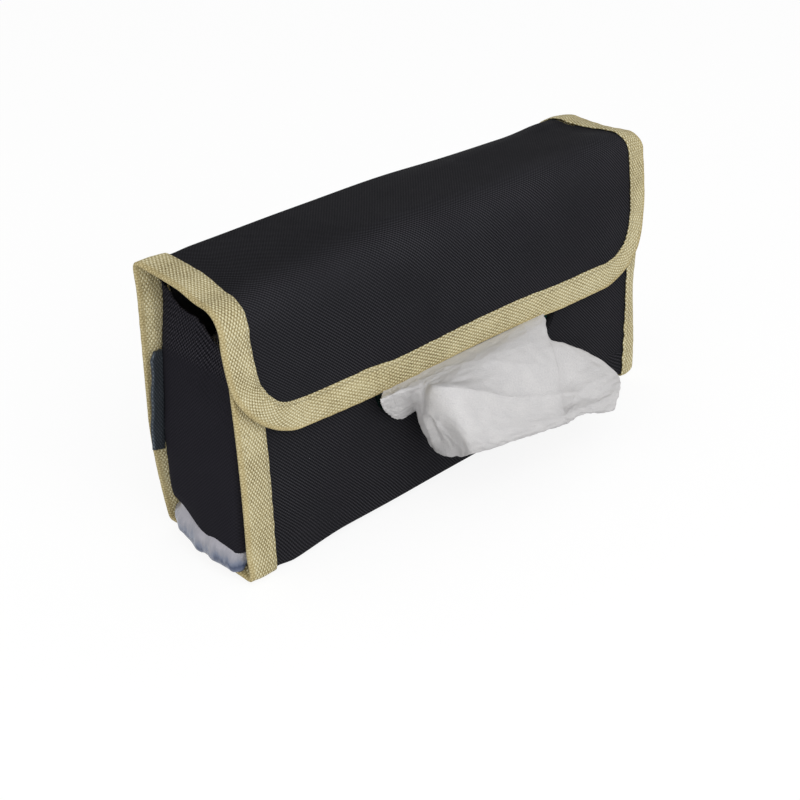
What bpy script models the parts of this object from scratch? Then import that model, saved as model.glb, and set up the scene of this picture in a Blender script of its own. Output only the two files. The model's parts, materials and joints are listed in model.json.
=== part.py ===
"""Car tissue holder: a flat fabric case with a hinged lid, a front flap and a pulled tissue.

Run with: blender --background --python part.py
Metres, +Z up. The origin is the centre of the flat base. The front faces -Y and the
length runs along X. One strip of fabric makes the front, the base, the back, the lid
and the flap; webbing binds both of its long edges and the rounded end of the flap.
"""
import math

import bmesh
import bpy
from mathutils import Vector

# Overall size
case_length = 0.246
base_depth = 0.0552
lid_top_height = 0.1164
front_edge_drop = 0.0093
seam_gap = 0.0005

# Front wall: leans back as a shallow parabola, so the case is thinner at the top
front_lean = 0.0077
front_steps = 6

# Layers, outside to inside
fabric_thickness = 0.0006
board_thickness = 0.0010
lining_thickness = 0.0004
tape_thickness = 0.0008
layer_gap = 0.0003

# Edge binding: a folded webbing tape
tape_width = 0.014
base_fold_radius = 0.0031
fold_steps = 4

# Base and lid centre panels stand level with the tape beside them
ramp_width = 0.0042
lid_crown = 0.0008

# Lid: rear fold at the back wall, long soft fold at the front
rear_fold_radius = 0.0020
front_fold_radius = 0.0080
front_fold_steps = 4

# Flap: hangs a little clear of the front binding
flap_slack = 0.0011
flap_length = 0.0611
flap_corner_radius = 0.033
flap_corner_steps = 7
flap_steps = 5

# Dispensing slot through the front wall, behind the flap's lower edge and off centre
slot_length = 0.1145
slot_height = 0.032
slot_shift = 0.0055
slot_drop = 0.0003
slot_end_steps = 8
cut_overrun = 0.006

# Gussets at the two ends: wide and boxy low down, tucked in under the lid
gusset_bottom_height = 0.0115
gusset_headroom = 0.0159
gusset_turn_radius = 0.0008
gusset_turn_steps = 3
gusset_wall_steps = 12
gusset_bulge = 0.0095
gusset_bulge_start = 0.0036
gusset_square_power = 5
gusset_level_shares = (0.0, 0.10, 0.28, 0.50, 0.72, 0.86, 0.94, 1.0)
gusset_bulge_shares = (0.62, 0.88, 1.0, 0.76, 0.42, 0.10, -0.22, -0.50)

# Loop tab in the left rear seam
tab_height = 0.041
tab_drop = 0.0574
tab_thickness = 0.0012
tab_reach_top = 0.0090
tab_reach_bottom = 0.0132

# Hook-and-loop patches
patch_thickness = 0.0005
flap_patch_length = 0.024
flap_patch_height = 0.018
flap_patch_end_gap = 0.0067
flap_patch_rise = 0.0324

# Rear straps: flat webbing sewn at its outer end, closed on loop pads
strap_width = 0.025
strap_thickness = 0.0011
strap_drop = 0.0438
strap_root_length = 0.014
strap_end_gap = 0.0040
strap_free_length = 0.060
strap_ramp_length = 0.012
strap_hinge_gap = 0.0003
pad_length = 0.026
pad_width = 0.020
pad_end_margin = 0.003

# Tissue pack: film wrapper, folded stack and the pulled sheet
pack_clearance = 0.0006
pack_end_clearance = 0.0013
pack_headroom = 0.0143
pack_top_radius = 0.010
pack_bottom_radius = 0.0085
pack_end_radius = 0.009
pack_level_steps = 4
film_thickness = 0.0004
mouth_length = 0.096
mouth_height = 0.022
mouth_drop = 0.0042
stack_clearance = 0.0005
stack_end_gap = 0.0040
fin_end_gap = 0.0025
fin_depth_share = 0.69
fin_root_overlap = 0.012
fin_gap = 0.0007
fin_steps = 8

# Pulled tissue: named sizes that its control table is written in shares of
tissue_half_spread = 0.060
tissue_reach = 0.042
tissue_drop = 0.030
tissue_exit_drop = 0.0047
tissue_thickness = 0.0007
tissue_start_gap = 0.0009
tissue_across = 3
tissue_along = 3

edge_x = case_length / 2
half_depth = base_depth / 2
front_top_height = lid_top_height - front_edge_drop
back_top_height = lid_top_height - rear_fold_radius - seam_gap
flap_bottom_height = lid_top_height - flap_length
slot_middle_height = flap_bottom_height - slot_drop
mouth_middle_height = slot_middle_height - mouth_drop
tissue_exit_height = flap_bottom_height - tissue_exit_drop
gusset_top_height = lid_top_height - gusset_headroom
pack_top_height = lid_top_height - pack_headroom
tab_middle_height = lid_top_height - tab_drop
strap_middle_height = lid_top_height - strap_drop
flap_patch_middle_height = flap_bottom_height + flap_patch_rise
tape_outer = layer_gap + tape_thickness
web_inset = tape_thickness + layer_gap
flange_outer = -fabric_thickness - layer_gap
flange_inner = flange_outer - fabric_thickness
wall_tape_inner = flange_inner - layer_gap - tape_thickness
lid_tape_inner = -fabric_thickness - layer_gap - tape_thickness
board_outer = -fabric_thickness - layer_gap
board_inner = board_outer - board_thickness
lining_outer = board_inner - layer_gap
lining_inner = lining_outer - lining_thickness
panel_half = edge_x - web_inset
centre_half = edge_x - tape_width - layer_gap
board_half = centre_half - ramp_width
gusset_wall_x = centre_half - fabric_thickness / 2
flap_patch_place = centre_half - flap_patch_end_gap - flap_patch_length / 2
strap_fold_place = centre_half - strap_end_gap - strap_root_length
base_height = tape_outer
base_fold_height = base_height + base_fold_radius
flap_offset = tape_outer - lid_tape_inner + flap_slack
pack_bottom_height = base_height - tape_outer - lining_inner + pack_clearance
fin_bottom_height = base_height - wall_tape_inner + pack_clearance
fin_height = gusset_bottom_height - fin_gap - fin_bottom_height


def material(name, colour, roughness):
    """A plain Principled material for one sub-part."""
    result = bpy.data.materials.new(name)
    result.use_nodes = True
    shader = result.node_tree.nodes["Principled BSDF"]
    shader.inputs["Base Color"].default_value = (*colour, 1.0)
    shader.inputs["Roughness"].default_value = roughness
    shader.inputs["Metallic"].default_value = 0.0
    result.diffuse_color = (*colour, 1.0)
    return result


OXFORD = ((0.020, 0.021, 0.025), 0.80)
LINING = ((0.030, 0.030, 0.034), 0.70)
BOARD = ((0.32, 0.30, 0.27), 0.90)
WEBBING = ((0.47, 0.41, 0.24), 0.85)
TOUCH_TAPE = ((0.015, 0.015, 0.016), 0.95)
STRAP = ((0.018, 0.018, 0.020), 0.80)
TAB = ((0.030, 0.042, 0.052), 0.70)
FILM = ((0.34, 0.37, 0.42), 0.25)
TISSUE = ((0.70, 0.69, 0.69), 0.95)


def add_object(name, mesh_data, finish, smooth=True):
    """Put a bmesh into the scene as a named object with its own material."""
    bmesh.ops.recalc_face_normals(mesh_data, faces=mesh_data.faces)
    mesh = bpy.data.meshes.new(name)
    mesh_data.to_mesh(mesh)
    mesh_data.free()
    if smooth:
        mesh.shade_smooth()
        mesh.set_sharp_from_angle(angle=math.radians(35))
    mesh.materials.append(material(name + "_finish", *finish))
    result = bpy.data.objects.new(name, mesh)
    bpy.context.scene.collection.objects.link(result)
    return result


def ring_body(name, rings, finish, closed=False):
    """A closed body through equal rings of points, capped at both ends unless closed."""
    mesh_data = bmesh.new()
    rows = [[mesh_data.verts.new(point) for point in ring] for ring in rings]
    pairs = list(zip(rows, rows[1:]))
    if closed:
        pairs.append((rows[-1], rows[0]))
    for first, second in pairs:
        for index in range(len(first)):
            after = (index + 1) % len(first)
            mesh_data.faces.new((first[index], first[after], second[after], second[index]))
    if not closed:
        mesh_data.faces.new(rows[0])
        mesh_data.faces.new(list(reversed(rows[-1])))
    return add_object(name, mesh_data, finish)


# Profiles: lists of samples (y, z, outward normal y, outward normal z)

def line_samples(start, end, steps=1):
    """Samples along a straight run, with the outward side on the left of travel."""
    start, end = Vector(start), Vector(end)
    along = (end - start).normalized()
    normal = (along.y, -along.x)
    return [(*start.lerp(end, index / steps), *normal) for index in range(steps + 1)]


def arc_samples(centre, radius, start_deg, end_deg, steps):
    """Samples round a fold whose outside is away from its centre."""
    result = []
    for index in range(steps + 1):
        angle = math.radians(start_deg + (end_deg - start_deg) * index / steps)
        normal = (math.cos(angle), math.sin(angle))
        result.append((centre[0] + radius * normal[0], centre[1] + radius * normal[1], *normal))
    return result


def front_slope(height):
    """How fast the front wall leans back at a height."""
    return 2 * front_lean * height / front_top_height ** 2


def front_sample(height, outward=0.0):
    """The front wall's outer face at a height, moved outward by a distance."""
    slope = front_slope(height)
    size = math.hypot(1, slope)
    normal = (-1 / size, slope / size)
    place = -half_depth + front_lean * (height / front_top_height) ** 2
    return (place + outward * normal[0], height + outward * normal[1], *normal)


def shifted(sample, outward):
    """The point of a sample moved along its normal."""
    return sample[0] + outward * sample[2], sample[1] + outward * sample[3]


def spread(start, end, steps):
    """Evenly spaced values from start to end."""
    return [start + (end - start) * index / steps for index in range(steps + 1)]


base_front = (-half_depth + base_fold_radius, base_fold_height)
base_back = (half_depth - base_fold_radius, base_fold_height)
front_wall = [front_sample(z) for z in spread(front_top_height, base_fold_height, front_steps)]
front_fold = arc_samples(base_front, base_fold_radius, 180, 270, fold_steps)
back_fold = arc_samples(base_back, base_fold_radius, 270, 360, fold_steps)
base_wall = front_fold + back_fold
back_wall = line_samples((half_depth, base_fold_height), (half_depth, back_top_height))

# The flap hangs outside the front binding and follows the front wall's curve
fold_height = lid_top_height - front_fold_radius
flap_start = front_sample(fold_height, flap_offset)
flap_lean_deg = math.degrees(math.atan(front_slope(fold_height)))
fold_centre = (flap_start[0] + front_fold_radius * math.cos(math.radians(flap_lean_deg)),
               fold_height)
fold_end_deg = 180 - flap_lean_deg
fold_middle_deg = (90 + fold_end_deg) / 2
split_half_deg = math.degrees(layer_gap / 2 / front_fold_radius)
flap_run_top = fold_height + front_fold_radius * math.sin(math.radians(flap_lean_deg))

rear_centre = (half_depth - rear_fold_radius, lid_top_height - rear_fold_radius)
rear_fold = arc_samples(rear_centre, rear_fold_radius, 0, 90, fold_steps)
nose = arc_samples(fold_centre, front_fold_radius, 90, fold_middle_deg - split_half_deg,
                   front_fold_steps)
lid_wall = rear_fold + nose
flap_fold = arc_samples(fold_centre, front_fold_radius, fold_middle_deg + split_half_deg,
                        fold_end_deg, front_fold_steps)


def flap_sample(height):
    """The flap fabric's outer face at a height."""
    return front_sample(height, flap_offset)


def hinge_point(centre, radius, degrees):
    """The outermost face of the tape on a fold, where the fabric bends."""
    angle = math.radians(degrees)
    return centre[0] + radius * math.cos(angle), centre[1] + radius * math.sin(angle)


flap_hinge = hinge_point(fold_centre, front_fold_radius + tape_outer, fold_middle_deg)
lid_hinge = (half_depth + tape_outer, lid_top_height + tape_outer)


def sheet(name, samples, halves, outer, inner, finish, offset_at=None, columns=None):
    """A layer of the strip between two offsets, with its own half width at each sample."""
    rings = []
    for sample, half in zip(samples, halves):
        places = columns or (-half, half)
        outside, inside = [], []
        for x in places:
            shift = offset_at(x, sample) if offset_at else 0.0
            y, z = shifted(sample, outer)
            outside.append(Vector((x, y, z + shift)))
            y, z = shifted(sample, inner)
            inside.append(Vector((x, y, z + shift)))
        rings.append(outside + list(reversed(inside)))
    return ring_body(name, rings, finish)


def crown(amount):
    """A vertical shift that lifts or lowers the middle of a panel between the bindings."""
    def shift(x, sample):
        share = min(max((centre_half - abs(x)) / ramp_width, 0.0), 1.0)
        return amount * share * sample[3]
    return shift


crown_columns = (-panel_half, -centre_half, -board_half, board_half, centre_half, panel_half)


def channel_section(inner):
    """The folded tape's section as (distance in from the edge, offset) pairs."""
    flat = inner + tape_thickness
    return ((0, tape_outer), (tape_width, tape_outer), (tape_width, layer_gap),
            (tape_thickness, layer_gap), (tape_thickness, flat), (tape_width, flat),
            (tape_width, inner), (0, inner))


def side_binding(name, side, samples, inner, finish=WEBBING):
    """A folded tape along one straight long edge of the strip."""
    rings = []
    for sample in samples:
        ring = []
        for distance, offset in channel_section(inner):
            y, z = shifted(sample, offset)
            ring.append(Vector((side * (edge_x - distance), y, z)))
        rings.append(ring)
    return ring_body(name, rings, finish)


def stadium_cutter(name, length, height, middle_height, near, far):
    """A guide body that cuts a round-ended slot along Y."""
    radius = height / 2
    straight = length / 2 - radius
    outline = []
    for end, start_deg in ((1, -90), (-1, 90)):
        for index in range(slot_end_steps + 1):
            angle = math.radians(start_deg + 180 * index / slot_end_steps)
            outline.append((slot_shift + end * straight + radius * math.cos(angle),
                            middle_height + radius * math.sin(angle)))
    rings = [[Vector((x, y, z)) for x, z in outline] for y in (near, far)]
    cutter = ring_body(name, rings, BOARD)
    cutter.hide_render = True
    cutter.display_type = "WIRE"
    return cutter


def cut(target, cutter):
    """Subtract a guide body from a sub-part."""
    modifier = target.modifiers.new("slot", "BOOLEAN")
    modifier.operation = "DIFFERENCE"
    modifier.solver = "EXACT"
    modifier.object = cutter


def hinge_empty(name, location):
    """An empty that stands on a joint's axis and carries its body."""
    result = bpy.data.objects.new(name, None)
    result.location = location
    bpy.context.scene.collection.objects.link(result)
    return result


def carry(empty, *pieces):
    """Parent pieces to an empty and keep them where they are."""
    for piece in pieces:
        piece.parent = empty
        piece.matrix_parent_inverse = empty.matrix_basis.inverted()


def same(value, samples):
    """One half width for every sample."""
    return [value] * len(samples)


def clear_scene():
    """Remove whatever the file held before."""
    for item in list(bpy.data.objects):
        bpy.data.objects.remove(item, do_unlink=True)


def build_walls():
    """Front, base and back: outer fabric, stiffening board and lining."""
    slot = stadium_cutter("slot_guide", slot_length, slot_height, slot_middle_height,
                          -half_depth - cut_overrun, -half_depth + front_lean + cut_overrun)
    front = front_wall[:-1] + [front_sample(base_fold_height + layer_gap)]
    back = line_samples((half_depth, base_fold_height + layer_gap),
                        (half_depth, back_top_height))
    inset = [front_sample(z) for z in spread(front_top_height - layer_gap,
                                             base_fold_height, front_steps)]
    back_inset = line_samples((half_depth, base_fold_height),
                              (half_depth, back_top_height - layer_gap))
    flat = [front_fold[-1], back_fold[0]]
    front_parts = [
        sheet("front_panel", front, same(panel_half, front), 0, -fabric_thickness, OXFORD),
        sheet("front_board", inset, same(board_half, inset), board_outer, board_inner, BOARD),
        sheet("front_lining", inset, same(board_half, inset), lining_outer, lining_inner,
              LINING)]
    for part in front_parts:
        cut(part, slot)
    sheet("base_panel", base_wall, same(panel_half, base_wall), 0, -fabric_thickness, OXFORD,
          crown(tape_outer), crown_columns)
    sheet("base_board", flat, same(board_half, flat), board_outer + tape_outer,
          board_inner + tape_outer, BOARD)
    sheet("base_lining", flat, same(board_half, flat), lining_outer + tape_outer,
          lining_inner + tape_outer, LINING)
    sheet("back_panel", back, same(panel_half, back), 0, -fabric_thickness, OXFORD)
    sheet("back_board", back_inset, same(board_half, back_inset), board_outer, board_inner,
          BOARD)
    sheet("back_lining", back_inset, same(board_half, back_inset), lining_outer, lining_inner,
          LINING)


def build_wall_bindings():
    """One folded tape down the front edge, along the base and up the back, at each end."""
    around = front_wall[:-1] + front_fold + back_fold + back_wall[1:]
    side_binding("left_binding", -1, around, wall_tape_inner)
    side_binding("right_binding", 1, around, wall_tape_inner)


def swell(along):
    """How much of its bulge a gusset has from its front (0) to its back (1)."""
    return 1 - abs(2 * min(max(along, 0.0), 1.0) - 1) ** gusset_square_power


def gusset_line(height, bulge):
    """Half of the case's end in plan: flange, turn, bulged wall, turn, flange."""
    flange = -(flange_outer + flange_inner) / 2
    front_y = front_sample(height)[0] + flange
    back_y = half_depth - flange
    turn_x = gusset_wall_x + gusset_turn_radius
    points = [Vector((panel_half, front_y))]
    for index in range(gusset_turn_steps + 1):
        angle = math.radians(90 * index / gusset_turn_steps)
        points.append(Vector((turn_x - gusset_turn_radius * math.sin(angle),
                              front_y + gusset_turn_radius * (1 - math.cos(angle)))))
    start = front_y + gusset_bulge_start
    end = back_y - gusset_bulge_start
    for index in range(gusset_wall_steps + 1):
        along = (1 - math.cos(math.pi * index / gusset_wall_steps)) / 2
        points.append(Vector((gusset_wall_x + bulge * swell(along),
                              start + (end - start) * along)))
    for index in range(gusset_turn_steps + 1):
        angle = math.radians(90 - 90 * index / gusset_turn_steps)
        points.append(Vector((turn_x - gusset_turn_radius * math.sin(angle),
                              back_y - gusset_turn_radius * (1 - math.cos(angle)))))
    points.append(Vector((panel_half, back_y)))
    return points


def thick_line(points, thickness):
    """A closed outline of even thickness about an open plan line."""
    left, right = [], []
    for index, point in enumerate(points):
        before = points[max(index - 1, 0)]
        after = points[min(index + 1, len(points) - 1)]
        along = (after - before).normalized()
        normal = Vector((along.y, -along.x))
        stretch = 1.0
        if 0 < index < len(points) - 1:
            first = (point - before).normalized()
            stretch = 1 / max(first.dot(along), 0.5)
        left.append(point + normal * (thickness / 2 * stretch))
        right.append(point - normal * (thickness / 2 * stretch))
    return left + list(reversed(right))


def build_gusset(name, side):
    """An end panel whose flanges run out into the front and back seams."""
    rings = []
    for level, bulge in zip(gusset_level_shares, gusset_bulge_shares):
        height = gusset_bottom_height + (gusset_top_height - gusset_bottom_height) * level
        outline = thick_line(gusset_line(height, bulge * gusset_bulge), fabric_thickness)
        rings.append([Vector((side * point.x, point.y, height)) for point in outline])
    return ring_body(name, rings, OXFORD)


def build_tab():
    """The folded tape tab held in the left rear seam, lying on the binding."""
    back = half_depth + wall_tape_inner - layer_gap
    front = back - tab_thickness
    root = edge_x - tape_width + web_inset
    top = tab_middle_height + tab_height / 2
    bottom = tab_middle_height - tab_height / 2
    corner = tab_thickness
    outline = ((root, bottom), (root + tab_reach_bottom - corner, bottom),
               (root + tab_reach_bottom, bottom + corner), (root + tab_reach_top, top - corner),
               (root + tab_reach_top - corner, top), (root, top))
    rings = [[Vector((-x, y, z)) for x, z in outline] for y in (front, back)]
    return ring_body("side_tab", rings, TAB)


def patch(name, samples, near, far, outer, finish=TOUCH_TAPE):
    """A thin hook or loop patch on a stretch of a profile, between two places along X."""
    rings = []
    for sample in samples:
        corners = []
        for x, offset in ((near, outer), (far, outer), (far, outer - patch_thickness),
                          (near, outer - patch_thickness)):
            y, z = shifted(sample, offset)
            corners.append(Vector((x, y, z)))
        rings.append(corners)
    return ring_body(name, rings, finish)


def build_front_patches():
    """Loop patches on the front wall and the flap's hook patches that close on them."""
    top = flap_patch_middle_height + flap_patch_height / 2
    bottom = flap_patch_middle_height - flap_patch_height / 2
    heights = spread(top, bottom, 2)
    wall = [front_sample(z) for z in heights]
    flap = [flap_sample(z) for z in heights]
    hooks = []
    for label, side in (("left", -1), ("right", 1)):
        near = side * (flap_patch_place - flap_patch_length / 2)
        far = side * (flap_patch_place + flap_patch_length / 2)
        patch("front_loop_patch_" + label, wall, near, far, layer_gap + patch_thickness)
        hooks.append(patch("flap_hook_patch_" + label, flap, near, far,
                           -fabric_thickness - lining_thickness - 2 * layer_gap))
    return hooks


def strap_body(name, line, side, finish=STRAP, width=strap_width, thickness=strap_thickness):
    """A flat band on edge: a plan line (x, y) given a thickness and a width along Z."""
    outline = thick_line([Vector(point) for point in line], thickness)
    rings = [[Vector((side * point.x, point.y, z)) for point in outline]
             for z in (strap_middle_height - width / 2, strap_middle_height + width / 2)]
    return ring_body(name, rings, finish)


def build_straps():
    """Two rear straps, each with its sewn root, free band, hook pad and loop pad."""
    root_y = half_depth + layer_gap + strap_thickness / 2
    pad_y = half_depth + layer_gap + patch_thickness / 2
    hook_y = pad_y + patch_thickness + layer_gap
    band_y = hook_y + patch_thickness / 2 + layer_gap + strap_thickness / 2
    axis_y = root_y + strap_thickness / 2
    root_start = strap_fold_place + strap_hinge_gap / 2
    band_start = strap_fold_place - strap_hinge_gap / 2
    band_end = band_start - strap_free_length
    pad_start = band_end + pad_end_margin
    for label, side in (("left", -1), ("right", 1)):
        strap_body("strap_root_" + label, ((root_start, root_y),
                                           (root_start + strap_root_length, root_y)), side)
        strap_body("back_loop_pad_" + label, ((pad_start, pad_y),
                                              (pad_start + pad_length, pad_y)),
                   side, TOUCH_TAPE, pad_width, patch_thickness)
        band = strap_body("strap_" + label,
                          ((band_start, root_y), (band_start - strap_hinge_gap * 2, root_y),
                           (band_start - strap_ramp_length, band_y), (band_end, band_y)), side)
        hook = strap_body("strap_hook_pad_" + label, ((pad_start, hook_y),
                                                      (pad_start + pad_length, hook_y)),
                          side, TOUCH_TAPE, pad_width, patch_thickness)
        carry(hinge_empty("strap_hinge_" + label,
                          (side * strap_fold_place, axis_y, strap_middle_height)), band, hook)


def build_lid():
    """Lid fabric, board, lining and the tapes along its two ends."""
    flat = [rear_fold[-1], nose[0]]
    inner_nose = [rear_fold[-1]] + nose
    panel = sheet("lid_panel", lid_wall, same(panel_half, lid_wall), 0, -fabric_thickness,
                  OXFORD, crown(lid_crown), crown_columns)
    lift = crown(lid_crown)
    board = sheet("lid_board", flat, same(board_half, flat), board_outer, board_inner, BOARD,
                  lift)
    lining = sheet("lid_lining", inner_nose, same(board_half, inner_nose), lining_outer,
                   lining_inner, LINING, lift)
    left = side_binding("lid_binding_left", -1, lid_wall, lid_tape_inner)
    right = side_binding("lid_binding_right", 1, lid_wall, lid_tape_inner)
    carry(hinge_empty("lid_hinge", (0, *lid_hinge)), panel, board, lining, left, right)


def flap_rows(bottom, radius):
    """Samples down the flap and the length that its rounded corners take off each one."""
    corner_top = bottom + radius
    rows = [(sample, 0.0) for sample in flap_fold[:-1]]
    rows += [(flap_sample(z), 0.0) for z in spread(flap_run_top, corner_top, flap_steps)]
    for index in range(1, flap_corner_steps + 1):
        angle = math.radians(90 * index / flap_corner_steps)
        height = corner_top - radius * math.sin(angle)
        rows.append((flap_sample(height), radius * (1 - math.cos(angle))))
    return rows


def flap_binding():
    """One folded tape down the left edge, round both corners and up the right edge."""
    section = channel_section(lid_tape_inner)
    straight = flap_fold[:-1] + [flap_sample(z) for z in spread(
        flap_run_top, flap_bottom_height + flap_corner_radius, flap_steps)]
    corner_x = edge_x - flap_corner_radius
    corner_z = flap_bottom_height + flap_corner_radius

    def edge_ring(sample, side):
        ring = []
        for distance, offset in section:
            y, z = shifted(sample, offset)
            ring.append(Vector((side * (edge_x - distance), y, z)))
        return ring

    def corner_ring(angle, side):
        ring = []
        for distance, offset in section:
            reach = flap_corner_radius - distance
            sample = flap_sample(corner_z - reach * math.sin(angle))
            y, z = shifted(sample, offset)
            ring.append(Vector((side * (corner_x + reach * math.cos(angle)), y, z)))
        return ring

    turns = [math.radians(90 * index / flap_corner_steps)
             for index in range(1, flap_corner_steps + 1)]
    rings = [edge_ring(sample, -1) for sample in straight]
    rings += [corner_ring(angle, -1) for angle in turns]
    rings += [corner_ring(angle, 1) for angle in reversed(turns)]
    rings += [edge_ring(sample, 1) for sample in reversed(straight)]
    return ring_body("flap_binding", rings, WEBBING)


def build_flap(hooks):
    """Flap fabric and lining with rounded lower corners, its tape and hook patches."""
    rows = flap_rows(flap_bottom_height + web_inset, flap_corner_radius - web_inset)
    panel = sheet("flap_panel", [row[0] for row in rows], [panel_half - row[1] for row in rows],
                  0, -fabric_thickness, OXFORD)
    inset = tape_width + layer_gap
    inner_rows = flap_rows(flap_bottom_height + inset, flap_corner_radius - inset)
    lining_top = -fabric_thickness - layer_gap
    lining = sheet("flap_lining", [row[0] for row in inner_rows],
                   [centre_half - row[1] for row in inner_rows],
                   lining_top, lining_top - lining_thickness, LINING)
    carry(hinge_empty("flap_hinge", (0, *flap_hinge)), panel, lining, flap_binding(), *hooks)


def bulge_at(height):
    """A gusset's bulge at a height, read from its table of levels."""
    span = gusset_top_height - gusset_bottom_height
    level = min(max((height - gusset_bottom_height) / span, 0.0), 1.0)
    pairs = list(zip(gusset_level_shares, gusset_bulge_shares))
    for (low, first), (high, second) in zip(pairs, pairs[1:]):
        if level <= high:
            break
    return gusset_bulge * (first + (second - first) * (level - low) / (high - low))


def rounding(depth, radius):
    """How far a round edge draws in at a depth below its crest."""
    left = min(max(radius - depth, 0.0), radius)
    return radius - math.sqrt(radius ** 2 - left ** 2)


def pack_levels():
    """Heights up the pack and how far its round top and bottom draw it in at each."""
    low, high = pack_bottom_height, pack_top_height
    levels = []
    for index in range(pack_level_steps):
        angle = math.radians(90 * index / pack_level_steps)
        levels.append((low + pack_bottom_radius * (1 - math.cos(angle)),
                       pack_bottom_radius * (1 - math.sin(angle))))
    span = gusset_top_height - gusset_bottom_height
    for share in gusset_level_shares:
        height = gusset_bottom_height + span * share
        if low + pack_bottom_radius <= height <= high - pack_top_radius:
            levels.append((height, 0.0))
    for index in range(pack_level_steps + 1):
        angle = math.radians(90 * index / pack_level_steps)
        levels.append((high - pack_top_radius * (1 - math.sin(angle)),
                       pack_top_radius * (1 - math.cos(angle))))
    return levels


def pillow(name, inset, end_gap, finish):
    """The soft block in the case: it fills the ends' bulge and has round edges."""
    rings = []
    for level, drawn_in in pack_levels():
        height = level + inset * (1 if level < slot_middle_height else -1)
        sample = front_sample(height)
        front = sample[0] - lining_inner + pack_clearance + inset + drawn_in
        back = half_depth + lining_inner - pack_clearance - inset - drawn_in
        start = sample[0] - flange_outer + gusset_bulge_start
        end = half_depth + flange_outer - gusset_bulge_start
        points = []
        for index in range(gusset_wall_steps + 1):
            y = front + (back - front) * (1 - math.cos(math.pi * index / gusset_wall_steps)) / 2
            reach = gusset_wall_x - fabric_thickness / 2 - pack_end_clearance - end_gap
            reach += bulge_at(height) * swell((y - start) / (end - start))
            reach -= inset + drawn_in + rounding(min(y - front, back - y), pack_end_radius)
            points.append((reach, y))
        rings.append([Vector((x, y, height)) for x, y in points]
                     + [Vector((-x, y, height)) for x, y in reversed(points)])
    return ring_body(name, rings, finish)


def hide_guide(guide):
    """Mark a body as a construction guide."""
    guide.hide_render = True
    guide.display_type = "WIRE"
    return guide


def build_fin(name, side):
    """The pack's crimped film end, folded low so that it shows under the gusset."""
    end = edge_x - fin_end_gap
    start = centre_half - fin_root_overlap
    rings = []
    for x in (start, (start + end) / 2, end - fin_height, end):
        reach_share = (x - start) / (end - start)
        half = half_depth * fin_depth_share * (1 - reach_share ** 6 / 8)
        height = fin_height * (1 - reach_share ** 6 / 2)
        middle = fin_bottom_height + height / 2
        ring = []
        for index in range(2 * fin_steps):
            angle = math.pi * index / fin_steps
            across = math.copysign(abs(math.cos(angle)) ** 0.5, math.cos(angle))
            rise = math.copysign(abs(math.sin(angle)) ** 0.7, math.sin(angle))
            ring.append(Vector((side * x, half * across, middle + height / 2 * rise)))
        rings.append(ring)
    return hide_guide(ring_body(name, rings, FILM))


def build_pack():
    """The film wrapper with its torn mouth and two end fins, and the folded stack."""
    wrapper = pillow("pack_wrapper", 0.0, 0.0, FILM)
    for label, side in (("left", -1), ("right", 1)):
        join = wrapper.modifiers.new("fin_" + label, "BOOLEAN")
        join.operation = "UNION"
        join.solver = "EXACT"
        join.object = build_fin("fin_guide_" + label, side)
    hollow = hide_guide(pillow("hollow_guide", film_thickness, 0.0, FILM))
    cut(wrapper, hollow)
    mouth = stadium_cutter("mouth_guide", mouth_length, mouth_height, mouth_middle_height,
                           -half_depth, -half_depth + front_lean + cut_overrun)
    cut(wrapper, mouth)
    pillow("tissue_stack", film_thickness + stack_clearance, stack_end_gap, TISSUE)


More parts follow.
